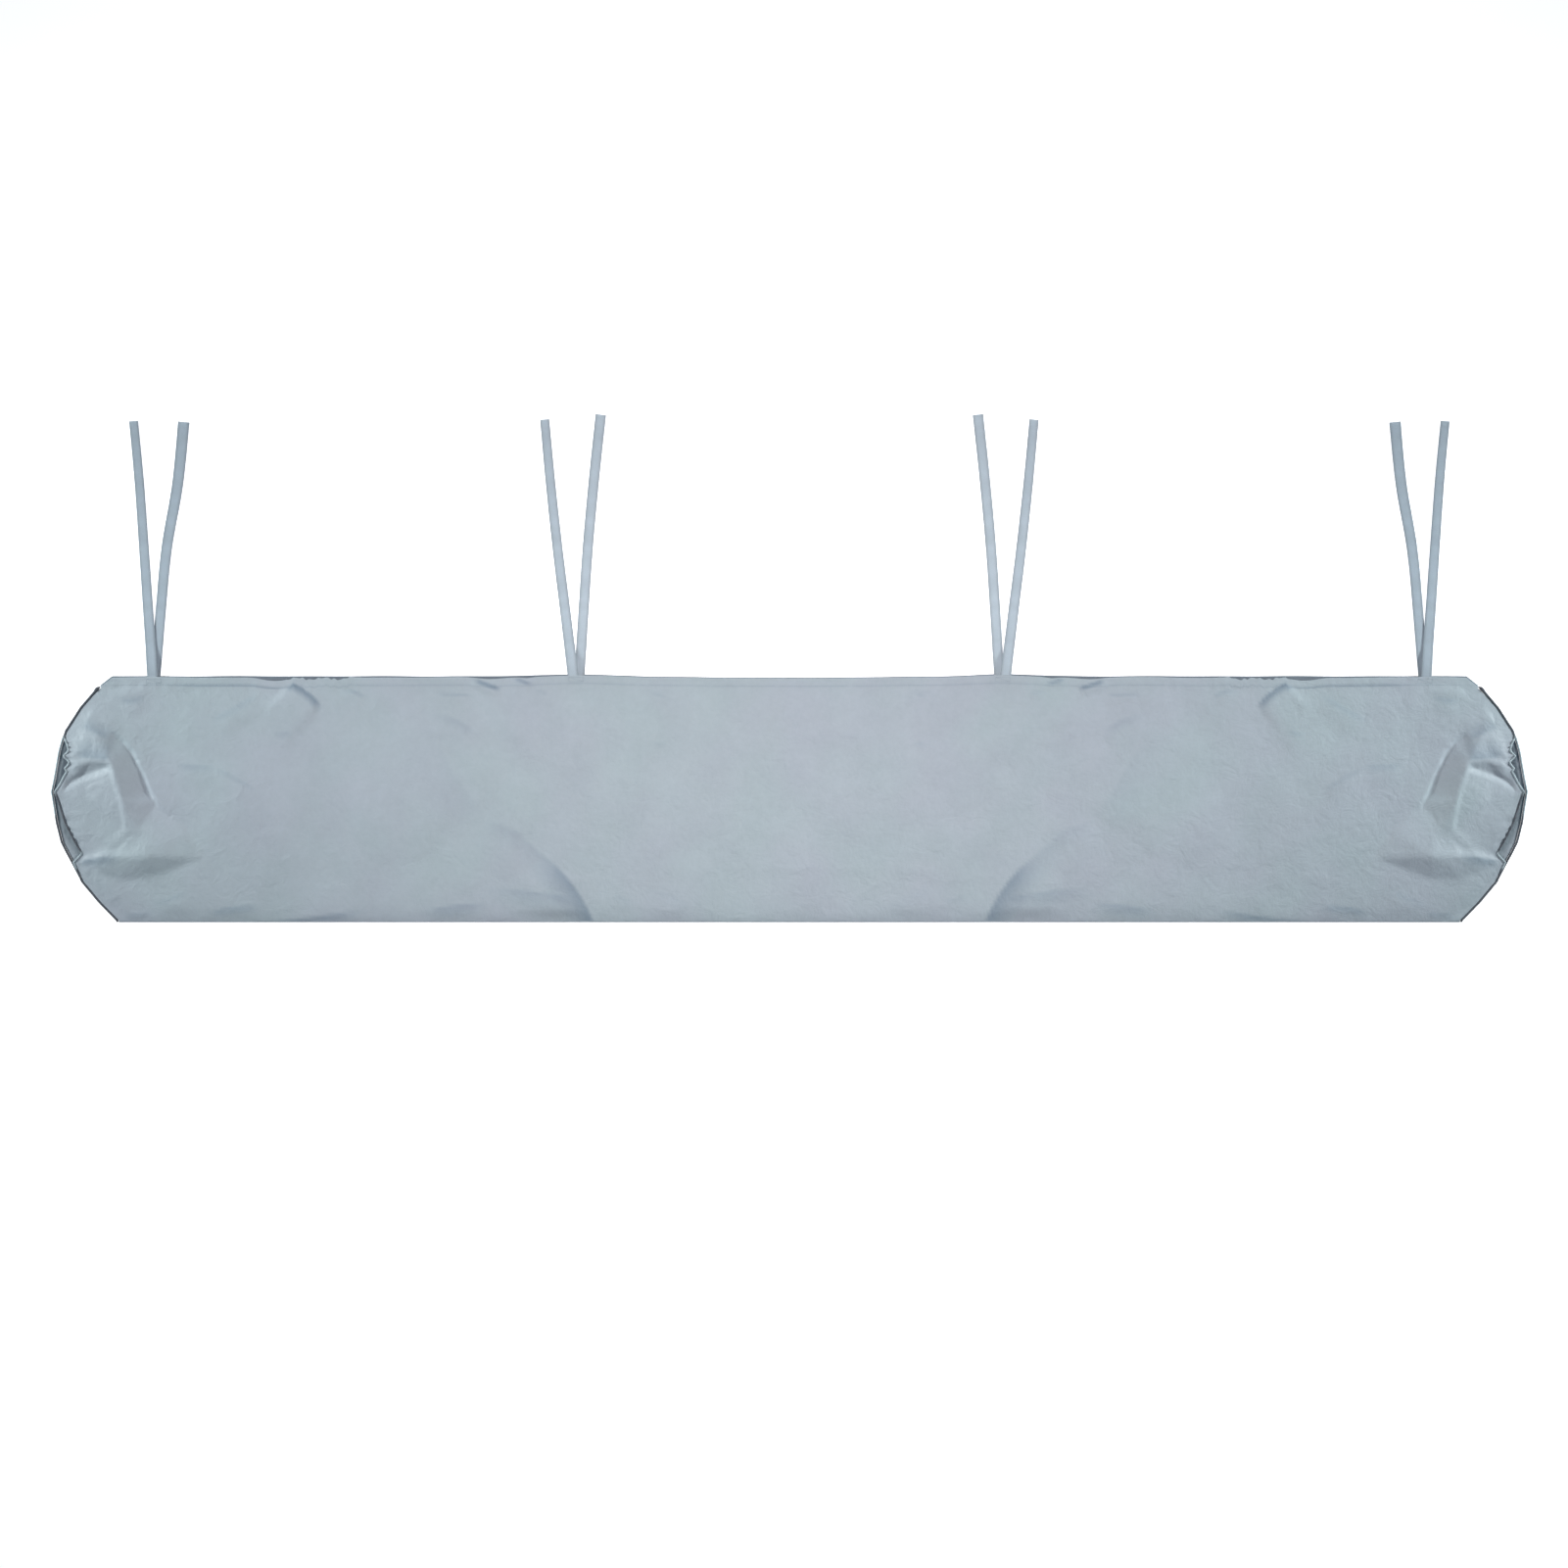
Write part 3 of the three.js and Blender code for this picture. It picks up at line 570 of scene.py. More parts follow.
def sleeve_surfaces(sizes):
    """The sheet's outer and inner skins: its middle moved half the thickness along its normal
    to either side, and once more inwards along the hems, where the cloth is double. Under the
    front layer the inner skin is lowered to its lowest neighbour, as it has every other column
    only. With them come the place of each point on the cut cloth and the two painted shades, of the
    inner skin and of the front layer's creases."""
    depth, turn, length = sleeve_rows()
    x = sleeve_columns(depth, turn < 1, sizes.cord / MM)
    d, t = np.broadcast_arrays(depth[:, None], turn[:, None])
    middle = sleeve_middle(x, d, t, sizes)
    normal = unit(np.cross(np.gradient(middle, axis=0), np.gradient(middle, axis=1)))
    normal = np.where((t == np.pi)[..., None], (0.0, 0.0, -1.0), normal)
    rounded = np.sqrt(1 - np.clip(1 - d / 1.4, 0, 1) ** 2)[..., None] * 0.9 + 0.1
    doubled = CLOTH * (1 - ease((d - HEM) / 1.6))[..., None]
    outer = middle + normal * CLOTH / 2 * rounded
    inner = middle - normal * (CLOTH / 2 + doubled) * rounded
    own, under = inner[:, 1:-1, 2], inner[..., 2]
    beside = np.minimum(under[:, :-2], under[:, 2:])
    crumpled = (t == 0) & (d > HEM + 4)
    inner[:, 1:-1, 2] = np.where(crumpled, np.minimum(own, beside), own)
    cut = np.stack([x, np.broadcast_to(length[:, None], x.shape)], axis=-1)
    # Painted shade along the front layer's creases, the hem's seam and the hem's ends
    shadowed = np.where(t == 0, painted_crease_shade(x, d), 0.0)
    return outer, inner, cut, inside_painted_shade(x, d, t), shadowed


def inside_painted_shade(x, depth, turn):
    """Painted shade on the inner skin, as a share of the dark inside colour: full, but for the back
    layer below its hem, where the shade starts 9 mm in from the edge and weakens down the end."""
    from_edge = HALF - np.abs(x) - edge_inset(depth, turn < 1)
    weaker = ease((from_edge - 9) / 5) * (1 - 0.75 * ease((depth - 270) / 40))
    return np.where((turn == np.pi) & (depth > 120), weaker, 1.0)


def skin_faces(grid):
    """Quads between neighbours of a grid of point numbers."""
    a, b, c, d = grid[:-1, :-1], grid[1:, :-1], grid[1:, 1:], grid[:-1, 1:]
    return np.stack([a, b, c, d], axis=-1).reshape(-1, 4)


def shell_faces(rows, columns):
    """Faces of a closed sheet: its outer skin, its inner skin turned over, which has every other
    column only, quads that join their ends, and faces with five corners that join their hems."""
    outer = np.arange(rows * columns).reshape(rows, columns)
    inner = rows * columns + np.arange(rows * (columns // 2 + 1)).reshape(rows, -1)
    left = np.stack([outer[:-1, 0], inner[:-1, 0], inner[1:, 0], outer[1:, 0]], axis=-1)
    right = np.stack([outer[1:, -1], inner[1:, -1], inner[:-1, -1], outer[:-1, -1]], axis=-1)
    hems = []
    for row, turn in ((0, 1), (-1, -1)):
        o, i = outer[row], inner[row]
        hem = np.stack([o[:-2:2], o[1:-1:2], o[2::2], i[1:], i[:-1]], axis=-1)
        hems += hem[:, ::turn].tolist()
    quads = np.concatenate([skin_faces(outer), skin_faces(inner)[:, ::-1], left, right])
    return quads.tolist() + hems


def new_piece(name, points, faces, cut, material):
    """A mesh object from points in millimetres and quads or triangles, with a map of where each
    point lies on the cut cloth, in metres."""
    mesh = bpy.data.meshes.new(name)
    mesh.from_pydata((points * MM).tolist(), [], faces)
    layer = mesh.uv_layers.new(name="Cut")
    corners = np.zeros(len(mesh.loops), np.int32)
    mesh.loops.foreach_get("vertex_index", corners)
    layer.data.foreach_set("uv", (cut[corners] * MM).ravel())
    mesh.shade_smooth()
    mesh.materials.append(material)
    piece = bpy.data.objects.new(name, mesh)
    bpy.context.collection.objects.link(piece)
    return piece


def add_attribute(piece, name, values):
    """A number for each point of the piece, which its material reads by name."""
    layer = piece.data.attributes.new(name, "FLOAT", "POINT")
    layer.data.foreach_set("value", values.astype(np.float32))


def swept(path, side, up, ring):
    """A closed tube: at each point of the path the ring's first number goes along the side
    vector and its second along the up vector, and a point in the middle of each end closes
    it. ring holds one closed section for each point of the path."""
    count, around = ring.shape[:2]
    body = path[:, None] + ring[..., :1] * side[:, None] + ring[..., 1:] * up[:, None]
    points = np.concatenate([body.reshape(-1, 3), path[:1], path[-1:]])
    grid = np.arange(count * around).reshape(count, around)
    nxt = np.roll(grid, -1, axis=1)
    quads = np.stack([grid[:-1], nxt[:-1], nxt[1:], grid[1:]], axis=-1).reshape(-1, 4)
    first, last = count * around, count * around + 1
    start = np.stack([nxt[0], grid[0], np.full(around, first)], axis=-1)
    end = np.stack([grid[-1], nxt[-1], np.full(around, last)], axis=-1)
    return points, quads.tolist() + start.tolist() + end.tolist()


def unit(v):
    """Vectors of length one."""
    return v / np.linalg.norm(v, axis=-1, keepdims=True)


def curve_through(values, count):
    """A smooth curve through evenly spaced values: between two of them a cubic whose slope at
    each value is half the step from its neighbour before to its neighbour after."""
    values = np.asarray(values, float)
    at = np.linspace(0, len(values) - 1, count)
    i = np.clip(at.astype(int), 0, len(values) - 2)
    t = at - i
    last = len(values) - 1
    p0, p1 = values[np.maximum(i - 1, 0)], values[i]
    p2, p3 = values[i + 1], values[np.minimum(i + 2, last)]
    m1, m2 = (p2 - p0) / 2, (p3 - p1) / 2
    left = (1 + 2 * t) * (1 - t) ** 2 * p1 + t * (1 - t) ** 2 * m1
    return left + t * t * (3 - 2 * t) * p2 + t * t * (t - 1) * m2


def cord_path(side, sizes):
    """The elastic's line: down the front edge, round the bottom fold on a half circle and up the
    back edge, with its radius inside the outline."""
    radius = sizes.cord / MM / 2
    loop = CLOTH / 2 + FOLD_RADIUS - radius
    bottom = DEPTH - loop - radius
    down = np.linspace(HEM + 2, bottom, 150)
    turn = np.linspace(0, np.pi, 13)[1:-1]
    depth = np.concatenate([down, np.full(turn.size, bottom), down[::-1]])
    front = np.arange(depth.size) < down.size + turn.size / 2
    bend = np.concatenate([np.zeros(down.size), turn, np.full(down.size, np.pi)])
    x = HALF - inside_edge(depth, front, radius)
    y = HEM_Y - depth - loop * np.sin(bend)
    z = radius + loop * (1 + np.cos(bend))
    rim = smooth_column(END_OUTLINE, RIM_HEIGHT, depth) + gather_wave(depth)
    z = np.where(bend == 0, rim, z)
    return np.stack([side * x, y, z], axis=-1), depth, bend


def stitch_run(places, sizes):
    """Stitches along a line of x and depth on the front layer: each is a small grain of thread,
    a stretched ball, that follows the slope of the cloth under it."""
    places = np.asarray(places, float)
    step = np.hypot(*np.diff(places, axis=0).T)
    along = np.concatenate([[0], np.cumsum(step)])
    pitch = sizes.stitch / MM
    count = max(2, int(along[-1] / pitch))

    def on_cloth(at):
        x = np.interp(at, along, places[:, 0])
        depth = np.interp(at, along, places[:, 1])
        y = HEM_Y - depth - hem_drop(x, depth, True)
        z = front_height(x, depth, sizes) + CLOTH / 2 + STITCH_LIFT
        return np.stack([x, y, z], axis=-1)

    centre = (np.arange(count) + 0.5) * along[-1] / count
    start, end = on_cloth(centre - pitch * 0.36), on_cloth(centre + pitch * 0.36)
    run = unit(end - start)
    across = unit(np.cross(run, (0.0, 0.0, 1.0)))
    above = np.cross(across, run)
    angle = np.linspace(0, 2 * np.pi, STITCH_SIDES, endpoint=False)
    belt = np.linspace(-1, 1, STITCH_SIDES)
    fat = np.sqrt(1 - (belt * 0.96) ** 2)
    ring = np.stack([
        np.repeat(belt[:, None] * pitch * 0.4, STITCH_SIDES, axis=1),
        fat[:, None] * np.cos(angle) * 0.42,
        fat[:, None] * np.sin(angle) * 0.3,
    ], axis=-1).reshape(-1, 3)
    axes = np.stack([run, across, above], axis=1)
    points = ((start + end) / 2)[:, None] + np.einsum("kc,ncd->nkd", ring, axes)
    size = STITCH_SIDES**2
    grid = np.arange(size).reshape(STITCH_SIDES, STITCH_SIDES)
    nxt = np.roll(grid, -1, axis=1)
    quads = np.stack([grid[:-1], grid[1:], nxt[1:], nxt[:-1]], axis=-1).reshape(-1, 4)
    caps = np.array([[0, 1, 2, 3], [0, 3, 4, 5], [33, 32, 31, 30], [35, 34, 33, 30]])
    quads = np.concatenate([quads, caps])
    faces = (quads[None] + size * np.arange(count)[:, None, None]).reshape(-1, 4)
    return points.reshape(-1, 3), faces


class Nodes:
    """Shorthand for making a material's nodes and wiring them."""

    def __init__(self, name):
        self.material = bpy.data.materials.new(name)
        self.material.use_nodes = True
        self.tree = self.material.node_tree
        self.shader = self.tree.nodes["Principled BSDF"]

    def add(self, kind, settings=None, **inputs):
        """A node with its settings and with numbers or links on its named inputs."""
        node = self.tree.nodes.new(kind)
        for key, value in (settings or {}).items():
            setattr(node, key, value)
        for key, value in inputs.items():
            self.feed(node, key.replace("_", " "), value)
        return node

    def feed(self, node, key, value):
        """Sets an input, or links it where the value is another node's output."""
        socket = node.inputs[int(key)] if key.isdigit() else node.inputs[key]
        if isinstance(value, bpy.types.NodeSocket):
            self.tree.links.new(value, socket)
        else:
            socket.default_value = value

    def place(self):
        """Where a point lies in its object, in metres."""
        return self.add("ShaderNodeTexCoord").outputs["Object"]

    def cut(self):
        """Where a point lies on the cut cloth, in metres."""
        return self.add("ShaderNodeUVMap", {"uv_map": "Cut"}).outputs["UV"]

    def attribute(self, name):
        """A number that the piece's points hold."""
        return self.add("ShaderNodeAttribute", {"attribute_name": name}).outputs["Fac"]

    def math(self, operation, a, b=0.0):
        """One sum on two numbers or links."""
        node = self.add("ShaderNodeMath", {"operation": operation})
        self.feed(node, "0", a)
        self.feed(node, "1", b)
        return node.outputs[0]

    def noise(self, vector, scale, detail=3.0, roughness=0.5, distortion=0.0):
        """Cloudy noise, from 0 to 1."""
        node = self.add("ShaderNodeTexNoise", Scale=scale, Detail=detail, Roughness=roughness,
                        Distortion=distortion)
        self.feed(node, "Vector", vector)
        return node.outputs["Fac"]

    def bands(self, vector, pitch, direction, distortion=0.0):
        """Soft bands across one direction, a pitch apart in metres."""
        node = self.add("ShaderNodeTexWave", {"bands_direction": direction}, Distortion=distortion)
        self.feed(node, "Scale", 2 * np.pi / (20 * pitch))
        self.feed(node, "Vector", vector)
        return node.outputs["Fac"]

    def mixed(self, factor, a, b, blend="MIX"):
        """Two colours mixed by a factor."""
        node = self.add("ShaderNodeMix", {"data_type": "RGBA", "blend_type": blend})
        for key, value in zip("067", (factor, a, b)):
            self.feed(node, key, value)
        return node.outputs[2]

    def toned(self, colour, shade):
        """A colour times a number."""
        grey = self.add("ShaderNodeCombineColor", Red=shade, Green=shade, Blue=shade).outputs[0]
        return self.mixed(1.0, colour, grey, "MULTIPLY")

    def ranged(self, value, low, high, start, end):
        """A number carried from one range to another and held at its ends."""
        node = self.add("ShaderNodeMapRange")
        for key, given in zip("01234", (value, low, high, start, end)):
            self.feed(node, key, given)
        return node.outputs[0]

    def bump(self, height, distance, strength=1.0, normal=None):
        """Relief of a height from 0 to 1 times a distance in metres."""
        node = self.add("ShaderNodeBump", Strength=strength, Distance=distance)
        self.feed(node, "Height", height)
        if normal is not None:
            self.feed(node, "Normal", normal)
        return node.outputs["Normal"]

    def finish(self, colour, roughness, normal, **numbers):
        """Wires the shader and sets its other numbers on their own sockets."""
        self.feed(self.shader, "Base Color", colour)
        self.feed(self.shader, "Roughness", roughness)
        self.feed(self.shader, "Normal", normal)
        for key, value in numbers.items():
            self.shader.inputs[key.replace("_", " ")].default_value = value
        return self.material


def opaque(colour):
    """A colour property as four numbers."""
    return (*colour, 1.0)


def coated_cloth(sizes, colours):
    """Thin coated cloth: a fine plain weave, crinkles of two sizes, and a colour that drifts
    between a greenish and a cooler grey blue, with painted shade on its inner face and in its creases."""
    n = Nodes("coated cloth")
    place = n.place()
    cut = n.cut()
    drift = n.ranged(n.noise(place, 4.5, 2.0), 0.35, 0.65, 0.0, 1.0)
    colour = n.mixed(drift, opaque(colours.cloth), opaque(colours.cloth_cool))
    # Painted shade: the inner face darkened to the inside colour, standing for the shade within the
    # sleeve
    colour = n.mixed(n.attribute("inside"), colour, opaque(colours.inside))
    # Painted shade: creases, the hem's seam and the hem's ends darkened towards a bluish dark colour
    shadowed = n.ranged(n.attribute("shadowed"), 0.0, 2.2, 0.0, 0.88)
    colour = n.mixed(shadowed, colour, opaque(colours.shadowed))
    cloudy = n.ranged(n.noise(place, 11.0, 4.0, 0.6), 0.3, 0.7, 0.965, 1.03)
    mottled = n.ranged(n.noise(place, 75.0, 4.0, 0.65), 0.3, 0.7, 0.97, 1.03)
    cloudy = n.math("MULTIPLY", cloudy, mottled)
    weft = n.bands(cut, sizes.weave, "X")
    warp = n.bands(cut, sizes.weave * 1.08, "Y")
    weave = n.math("MULTIPLY", weft, warp)
    shade = n.math("MULTIPLY", cloudy, n.ranged(weave, 0.0, 1.0, 0.96, 1.03))
    colour = n.toned(colour, shade)
    crinkle = n.noise(place, 26.0, 5.0, 0.62, 0.6)
    fine = n.noise(place, 120.0, 3.0, 0.5)
    normal = n.bump(crinkle, 0.004, 0.7)
    normal = n.bump(fine, 0.0011, 0.6, normal)
    normal = n.bump(weave, 0.00012, 0.6, normal)
    roughness = n.ranged(n.noise(place, 17.0, 3.0), 0.3, 0.7, 0.5, 0.62)
    return n.finish(colour, roughness, normal, Specular_IOR_Level=0.45, Sheen_Weight=0.08,
                    Sheen_Roughness=0.5)


def woven_tape(colours):
    """Narrow woven tape: slanting ribs that turn at its middle, darker selvedges, painted shade on
    the run near the hem, and a paler colour on some tapes."""
    n = Nodes("woven tape")
    cut = n.cut()
    parts = n.add("ShaderNodeSeparateXYZ", Vector=cut)
    across = n.math("ABSOLUTE", parts.outputs["X"])
    slant = n.add("ShaderNodeCombineXYZ", X=n.math("ADD", across, parts.outputs["Y"]))
    ribs = n.bands(slant.outputs[0], 0.0016, "X")
    yarns = n.bands(cut, 0.0009, "Y")
    edge = n.ranged(across, 0.0045, 0.0092, 0.0, 1.0)
    along = n.noise(cut, 30.0, 3.0)
    shade = n.math("MULTIPLY", n.ranged(along, 0.3, 0.7, 0.93, 1.05), n.ranged(ribs, 0, 1, 0.93, 1.04))
    shade = n.math("MULTIPLY", shade, n.ranged(edge, 0.0, 1.0, 1.06, 0.76))
    # Painted shade: darker over the first 110 mm from the hem
    shade = n.math("MULTIPLY", shade, n.ranged(parts.outputs["Y"], 0.0, 0.11, 0.87, 1.0))
    # Some tapes are given a paler colour
    colour = n.mixed(n.attribute("paled"), opaque(colours.tape), opaque(colours.tape_pale))
    colour = n.toned(colour, shade)
    normal = n.bump(ribs, 0.00022, 0.8)
    normal = n.bump(yarns, 0.0001, 0.5, normal)
    normal = n.bump(n.noise(cut, 70.0, 3.0), 0.0005, 0.5, normal)
    return n.finish(colour, 0.72, normal, Specular_IOR_Level=0.35, Sheen_Weight=0.12,
                    Sheen_Roughness=0.4)


def wound_cord(colours):
    """Elastic under a wound thread cover: fine turns round it, and the cloth's own colour where
    the hem of the back layer rolls over it."""
    n = Nodes("wound cord")
    cut = n.cut()
    parts = n.add("ShaderNodeSeparateXYZ", Vector=cut)
    slant = n.math("ADD", n.math("MULTIPLY", parts.outputs["X"], 0.35), parts.outputs["Y"])
    turns = n.bands(n.add("ShaderNodeCombineXYZ", X=slant).outputs[0], 0.0013, "X")
    patchy = n.noise(cut, 55.0, 3.0)
    shade = n.math("MULTIPLY", n.ranged(turns, 0, 1, 0.7, 1.25), n.ranged(patchy, 0.3, 0.7, 0.85, 1.2))
    dark = n.toned(opaque(colours.cord), shade)
    colour = n.mixed(n.attribute("rolled"), dark, opaque(colours.cloth))
    normal = n.bump(turns, 0.0003, 0.9)
    return n.finish(colour, 0.8, normal, Specular_IOR_Level=0.3, Sheen_Weight=0.1)


def sewing_thread(colours):
    """Twisted thread, a little darker than the cloth."""
    n = Nodes("sewing thread")
    place = n.place()
    twist = n.bands(place, 0.0009, "DIAGONAL")
    shade = n.ranged(twist, 0.0, 1.0, 0.85, 1.1)
    colour = n.toned(opaque(colours.thread), shade)
    return n.finish(colour, 0.6, n.bump(twist, 0.0001, 0.6), Specular_IOR_Level=0.4)


def plain_floor(colours):
    """Smooth matt studio floor with a trace of unevenness in its finish."""
    n = Nodes("plain floor")
    place = n.place()
    clouds = n.noise(place, 0.7, 2.0)
    roughness = n.ranged(clouds, 0.3, 0.7, 0.88, 0.95)
    return n.finish(opaque(colours.floor), roughness, n.bump(clouds, 0.0002, 0.2),
                    Specular_IOR_Level=0.1, Emission_Color=(1, 1, 1, 1), Emission_Strength=FLOOR_GLOW)


def settings():
    """The scene's two property groups, sizes first."""
    scene = bpy.context.scene
    return scene.awning_cover_sizes, scene.awning_cover_colours


class OBJECT_OT_awning_camera(Operator):
    """Place the camera straight above the cover"""

    bl_idname = "object.awning_camera"
    bl_label = "Camera"

    def execute(self, context):
        sizes = settings()[0]
        data = bpy.data.cameras.new("camera")
        camera = bpy.data.objects.new("camera", data)
        context.collection.objects.link(camera)
        camera.location = CAMERA_PLACE
        data.sensor_width = SENSOR
        data.lens = SENSOR * CAMERA_PLACE[2] / sizes.view_width
        data.clip_end = 100.0
        context.scene.camera = camera
        return {"FINISHED"}


class OBJECT_OT_awning_sleeve(Operator):
    """Make the folded, hemmed and gathered sheet"""

    bl_idname = "object.awning_sleeve"
    bl_label = "Sleeve"

    def execute(self, context):
        sizes, colours = settings()
        outer, inner, cut, shaded, shadowed = sleeve_surfaces(sizes)
        rows, columns = outer.shape[:2]
        points = np.concatenate([outer.reshape(-1, 3), inner[:, ::2].reshape(-1, 3)])
        flat = np.concatenate([cut.reshape(-1, 2), cut[:, ::2].reshape(-1, 2)])
        cloth = coated_cloth(sizes, colours)
        sleeve = new_piece("sleeve", points, shell_faces(rows, columns), flat, cloth)
        outside, within = np.zeros(shadowed.size), np.zeros(shaded[:, ::2].size)
        # Painted shade: the dark inner skin, and the darkened creases on the front layer's outer skin
        add_attribute(sleeve, "inside", np.concatenate([outside, shaded[:, ::2].ravel()]))
        add_attribute(sleeve, "shadowed", np.concatenate([shadowed.ravel(), within]))
        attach(sleeve, "root")
        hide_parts("sleeve_cloth")
        return {"FINISHED"}


class OBJECT_OT_awning_end_cords(Operator):
    """Make the elastic cord of both ends"""

    bl_idname = "object.awning_end_cords"
    bl_label = "End Cords"

    def execute(self, context):
        sizes, colours = settings()
        material = wound_cord(colours)
        radius = sizes.cord / MM / 2
        around = np.linspace(0, 2 * np.pi, CORD_SIDES, endpoint=False)
        for name, side in SIDES.items():
            path, depth, bend = cord_path(side, sizes)
            step = np.linalg.norm(np.diff(path, axis=0), axis=1)
            along = np.concatenate([[0], np.cumsum(step)])
            tangent = unit(np.gradient(path, axis=0))
            outward = np.array([side, 0.0, 0.0])
            sideways = unit(outward - (tangent @ outward)[:, None] * tangent)
            up = np.cross(tangent, sideways)
            knot = bell(depth - HEM - 7, 3.5)
            path[:, 0] += side * 0.6 * knot
            path[:, 2] += np.where(bend > 1, 1.0, 0.3) * knot
            end = ease(np.minimum(along, along[-1] - along) / 1.2) * 0.7 + 0.3
            size = radius * (1 + 0.55 * knot) * end
            ring = size[:, None, None] * np.stack([np.cos(around), np.sin(around)], axis=-1)
            points, faces = swept(path, sideways, up, ring)
            cut = np.zeros((len(points), 2))
            cut[:-2, 0] = np.tile(around * radius, len(path))
            cut[:-2, 1] = np.repeat(along, CORD_SIDES)
            cut[-2:, 1] = along[[0, -1]]
            cord = new_piece(f"end_cord_{name}", points, faces, cut, material)
            last = np.where(bend > 1, 292, 246)
            rolled = ease((depth - 118) / 14) * ease((last - depth) / 18)
            below = ease((depth - 354) / 6) * ease((394 - depth) / 6)
            rolled = rolled + np.where(bend > 0, 0, below)
            rolled = np.concatenate([np.repeat(rolled, CORD_SIDES), [0, 0]])
            add_attribute(cord, "rolled", rolled)
            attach(cord, "root")
            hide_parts(f"elastic_{name}")
        return {"FINISHED"}


class OBJECT_OT_awning_tapes(Operator):
    """Make the tie tapes, sewn inside the hems and laid out on the floor"""

    bl_idname = "object.awning_tapes"
    bl_label = "Tapes"

    def execute(self, context):
        sizes, colours = settings()
        material = woven_tape(colours)
        for side_name, side in SIDES.items():
            for name, tape in TAPES.items():
                piece = self.tape(f"tie_{side_name}_{name}", side, tape, sizes, material)
                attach(piece, "root")
                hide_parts(f"tape_{side_name}_{name}")
        return {"FINISHED"}

    def tape(self, name, side, tape, sizes, material):
        """One tape: a rounded flat section along its line, which leaves its hem, comes down over
        its partner if it is the front one, and lies on the floor. Its tip is turned under."""
        root, front, reach, parted, sways, widths, paled = tape
        hem_height = FRONT_SECTION[0, 1]
        sewn_at = hem_height - CLOTH * 1.5 - GAP - TAPE if front else 2 * CLOTH + GAP
        count = 150
        out = curve_through(np.linspace(0, reach, 5), count)
        sway = curve_through(sways, count)
        out = np.concatenate([[-TAPE_ROOT, -TAPE_ROOT / 2], out])
        sway = np.concatenate([sway[:1], sway[:1], sway])
        over = (TAPE + 0.5) * (1 - ease((out - parted) / 50)) if front else 0 * out
        drop = ease((out - 4) / (60 if front else 34))
        buckle = ease((out - 60) / 40) * 0.5 * (1 + np.sin(out / 29 + root)) * (0.7 + 0.3 * side)
        turned = ease((out - reach + 13) / 1.5)
        thick = TAPE * (1 + 0.7 * turned)
        lift = sewn_at + (over - sewn_at) * drop + buckle + thick / 2
        centre = np.stack([side * (root - sway), HEM_Y + out, lift], axis=-1)
        tangent = unit(np.gradient(centre, axis=0))
        across = unit(np.cross(tangent, (0.0, 0.0, 1.0)))
        up = np.cross(across, tangent)
        angle = np.linspace(0, 2 * np.pi, TAPE_SIDES, endpoint=False)
        c, s = np.cos(angle), np.sin(angle)
        u = np.sign(c) * np.abs(c) ** 0.4 * sizes.tape_width / MM / 2
        w = np.sign(s) * np.abs(s) ** 0.55 / 2
        tip = np.sqrt(1 - np.clip(1 - (reach - out) / 0.8, 0, 1) ** 2) * 0.8 + 0.2
        wide = np.interp(out, [0, reach], widths)
        ring = np.stack([u * wide[:, None], w * (thick * tip)[:, None]], axis=-1)
        points, faces = swept(centre, across, up, ring)
        cut = np.zeros((len(points), 2))
        cut[:-2] = np.stack([np.tile(u, len(out)), np.repeat(out, TAPE_SIDES)], axis=-1)
        cut[-2:, 1] = out[[0, -1]]
        piece = new_piece(name, points, faces, cut, material)
        add_attribute(piece, "paled", np.full(len(points), paled))
        return piece


class OBJECT_OT_awning_stitching(Operator):
    """Sew the hem and the roots of the tapes"""

    bl_idname = "object.awning_stitching"
    bl_label = "Stitching"

    def execute(self, context):
        sizes, colours = settings()
        lines = [[(x, SEAM) for x in np.linspace(-SEAM_HALF, SEAM_HALF, 400)]]
        for root in (-OUTER_PAIR, -INNER_PAIR, INNER_PAIR, OUTER_PAIR):
            box = [(-15, 4), (15, 4), (15, 13), (-15, 13), (-15, 4), (15, 13)]
            lines.append([(root + x, depth) for x, depth in box])
        points, faces, start = [], [], 0
        for line in lines:
            more, quads = stitch_run(line, sizes)
            points.append(more)
            faces.append(quads + start)
            start += len(more)
        points, faces = np.concatenate(points), np.concatenate(faces)
        thread = sewing_thread(colours)
        piece = new_piece("hem_stitching", points, faces.tolist(), points[:, :2], thread)
        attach(piece, "root")
        return {"FINISHED"}


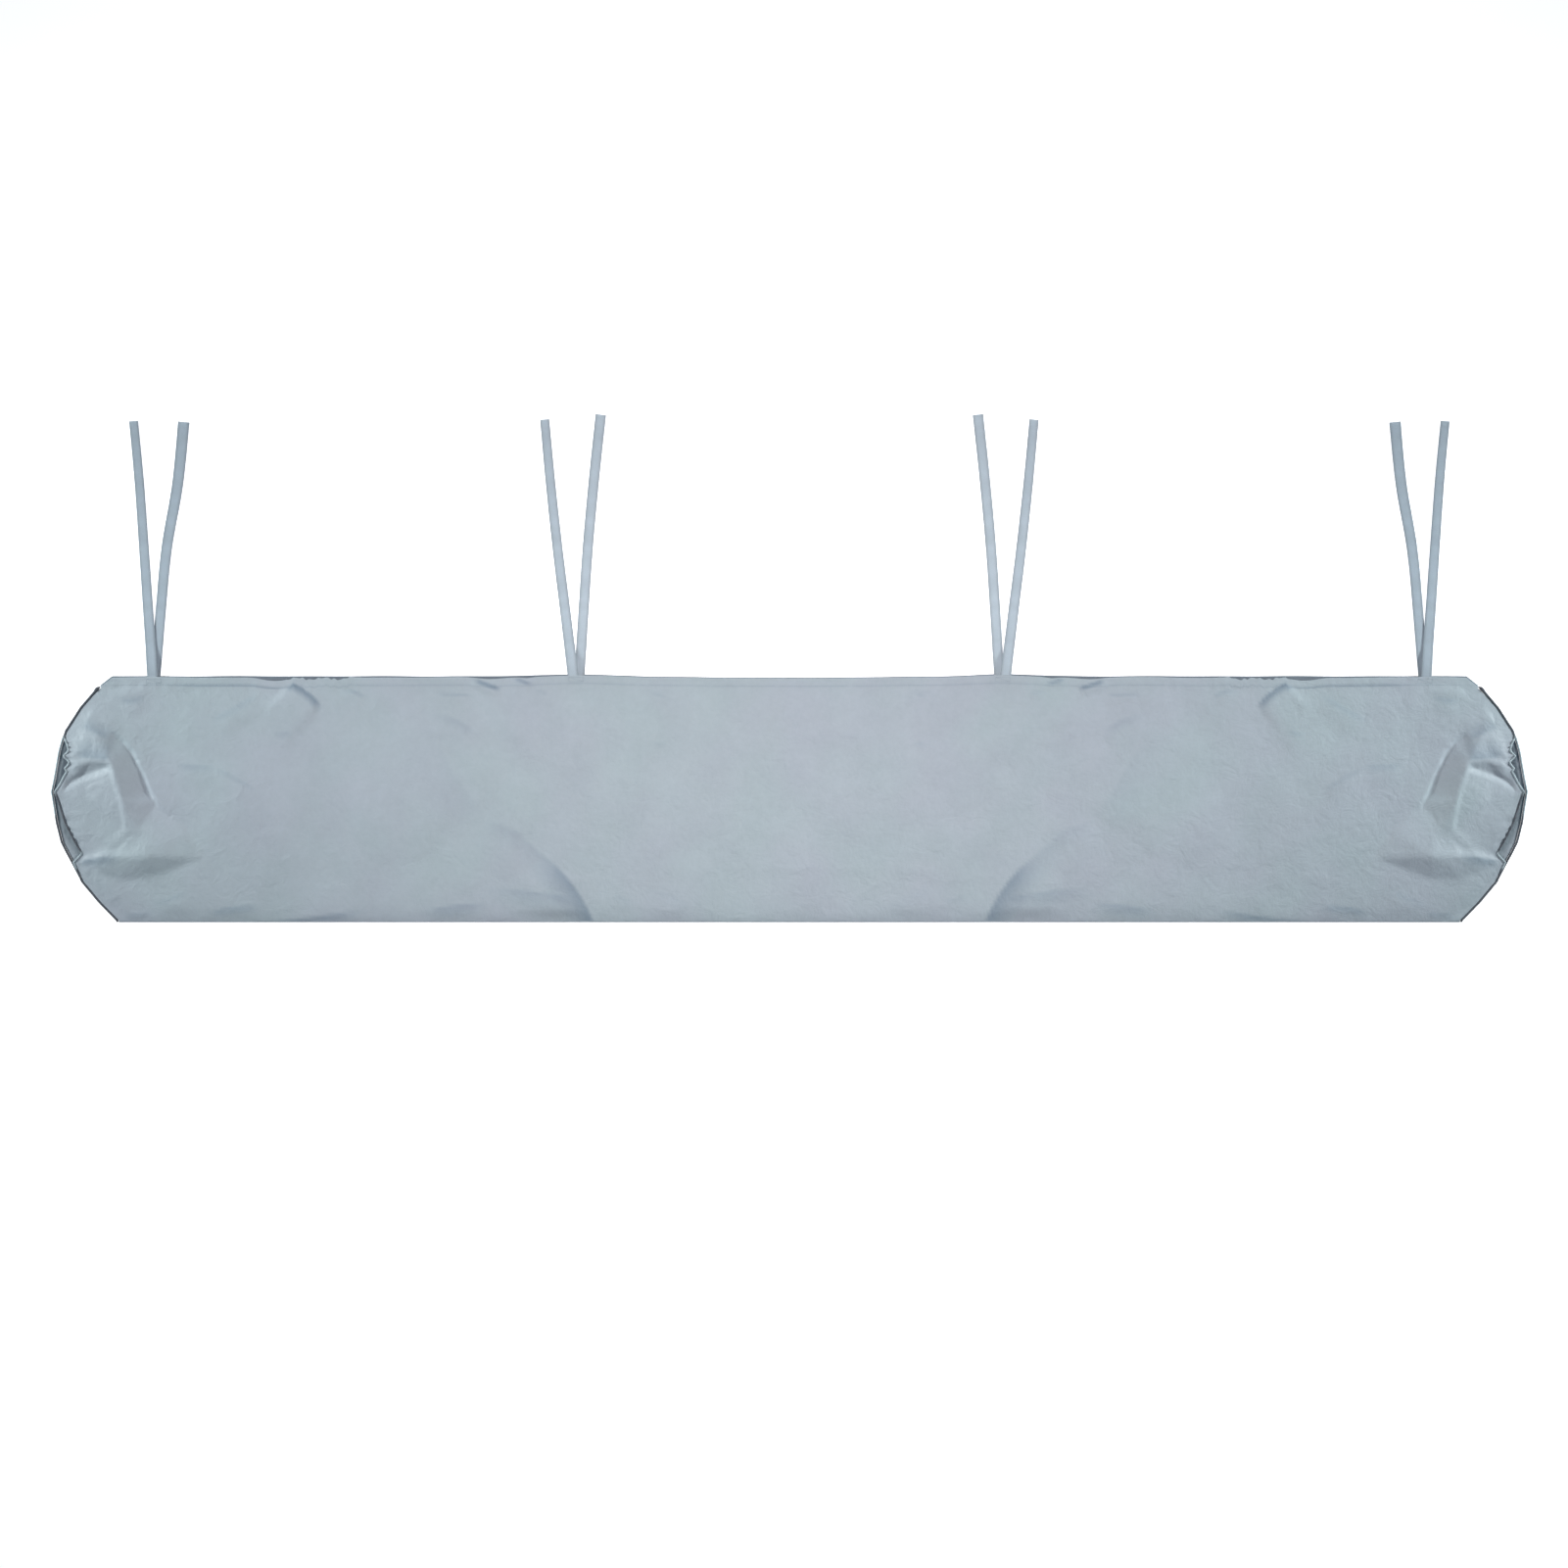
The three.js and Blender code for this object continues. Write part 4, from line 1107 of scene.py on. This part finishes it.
class OBJECT_OT_awning_stage(Operator):
    """Lay the floor and set the studio light"""

    bl_idname = "object.awning_stage"
    bl_label = "Stage"

    def execute(self, context):
        colours = settings()[1]
        corners = np.array([(-1, -1), (1, -1), (1, 1), (-1, 1)]) * FLOOR_REACH
        points = np.column_stack([corners, np.full(4, FLOOR_LEVEL)])
        floor = new_piece("floor", points, [[0, 1, 2, 3]], corners, plain_floor(colours))
        for name, (place, aim, size, spread, watts, colour) in LAMPS.items():
            data = bpy.data.lights.new(name, "AREA")
            data.shape = "RECTANGLE"
            data.size, data.size_y = size
            data.spread = spread
            data.energy = watts
            data.color = colour
            lamp = bpy.data.objects.new(name, data)
            context.collection.objects.link(lamp)
            lamp.location = place
            lamp.visible_camera = False
            away = lamp.location - type(lamp.location)(aim)
            lamp.rotation_euler = away.to_track_quat("Z", "Y").to_euler()
        world = bpy.data.worlds.new("studio")
        world.use_nodes = True
        background = world.node_tree.nodes["Background"]
        background.inputs["Color"].default_value = WORLD_COLOUR
        background.inputs["Strength"].default_value = WORLD_STRENGTH
        context.scene.world = world
        context.scene.view_settings.view_transform = "Standard"
        return {"FINISHED"}


ORDER = (
    OBJECT_OT_awning_camera,
    OBJECT_OT_awning_sleeve,
    OBJECT_OT_awning_end_cords,
    OBJECT_OT_awning_tapes,
    OBJECT_OT_awning_stitching,
    OBJECT_OT_awning_stage,
)


class VIEW3D_PT_awning_cover(Panel):
    """Sidebar panel with the cover's sizes, colours and steps"""

    bl_label = "Awning Cover"
    bl_space_type = "VIEW_3D"
    bl_region_type = "UI"
    bl_category = "Awning Cover"

    def draw(self, context):
        for group in settings():
            box = self.layout.box()
            for key in group.__annotations__:
                box.prop(group, key)
        for step in ORDER:
            self.layout.operator(step.bl_idname)


CLASSES = (AwningCoverSizes, AwningCoverColours, *ORDER, VIEW3D_PT_awning_cover)


def register():
    for cls in CLASSES:
        bpy.utils.register_class(cls)
    bpy.types.Scene.awning_cover_sizes = PointerProperty(type=AwningCoverSizes)
    bpy.types.Scene.awning_cover_colours = PointerProperty(type=AwningCoverColours)


def unregister():
    del bpy.types.Scene.awning_cover_colours
    del bpy.types.Scene.awning_cover_sizes
    for cls in reversed(CLASSES):
        bpy.utils.unregister_class(cls)


def main():
    register()
    bpy.ops.object.awning_camera()
    bpy.ops.object.awning_sleeve()
    bpy.ops.object.awning_end_cords()
    bpy.ops.object.awning_tapes()
    bpy.ops.object.awning_stitching()
    bpy.ops.object.awning_stage()


if __name__ == "__main__":
    main()
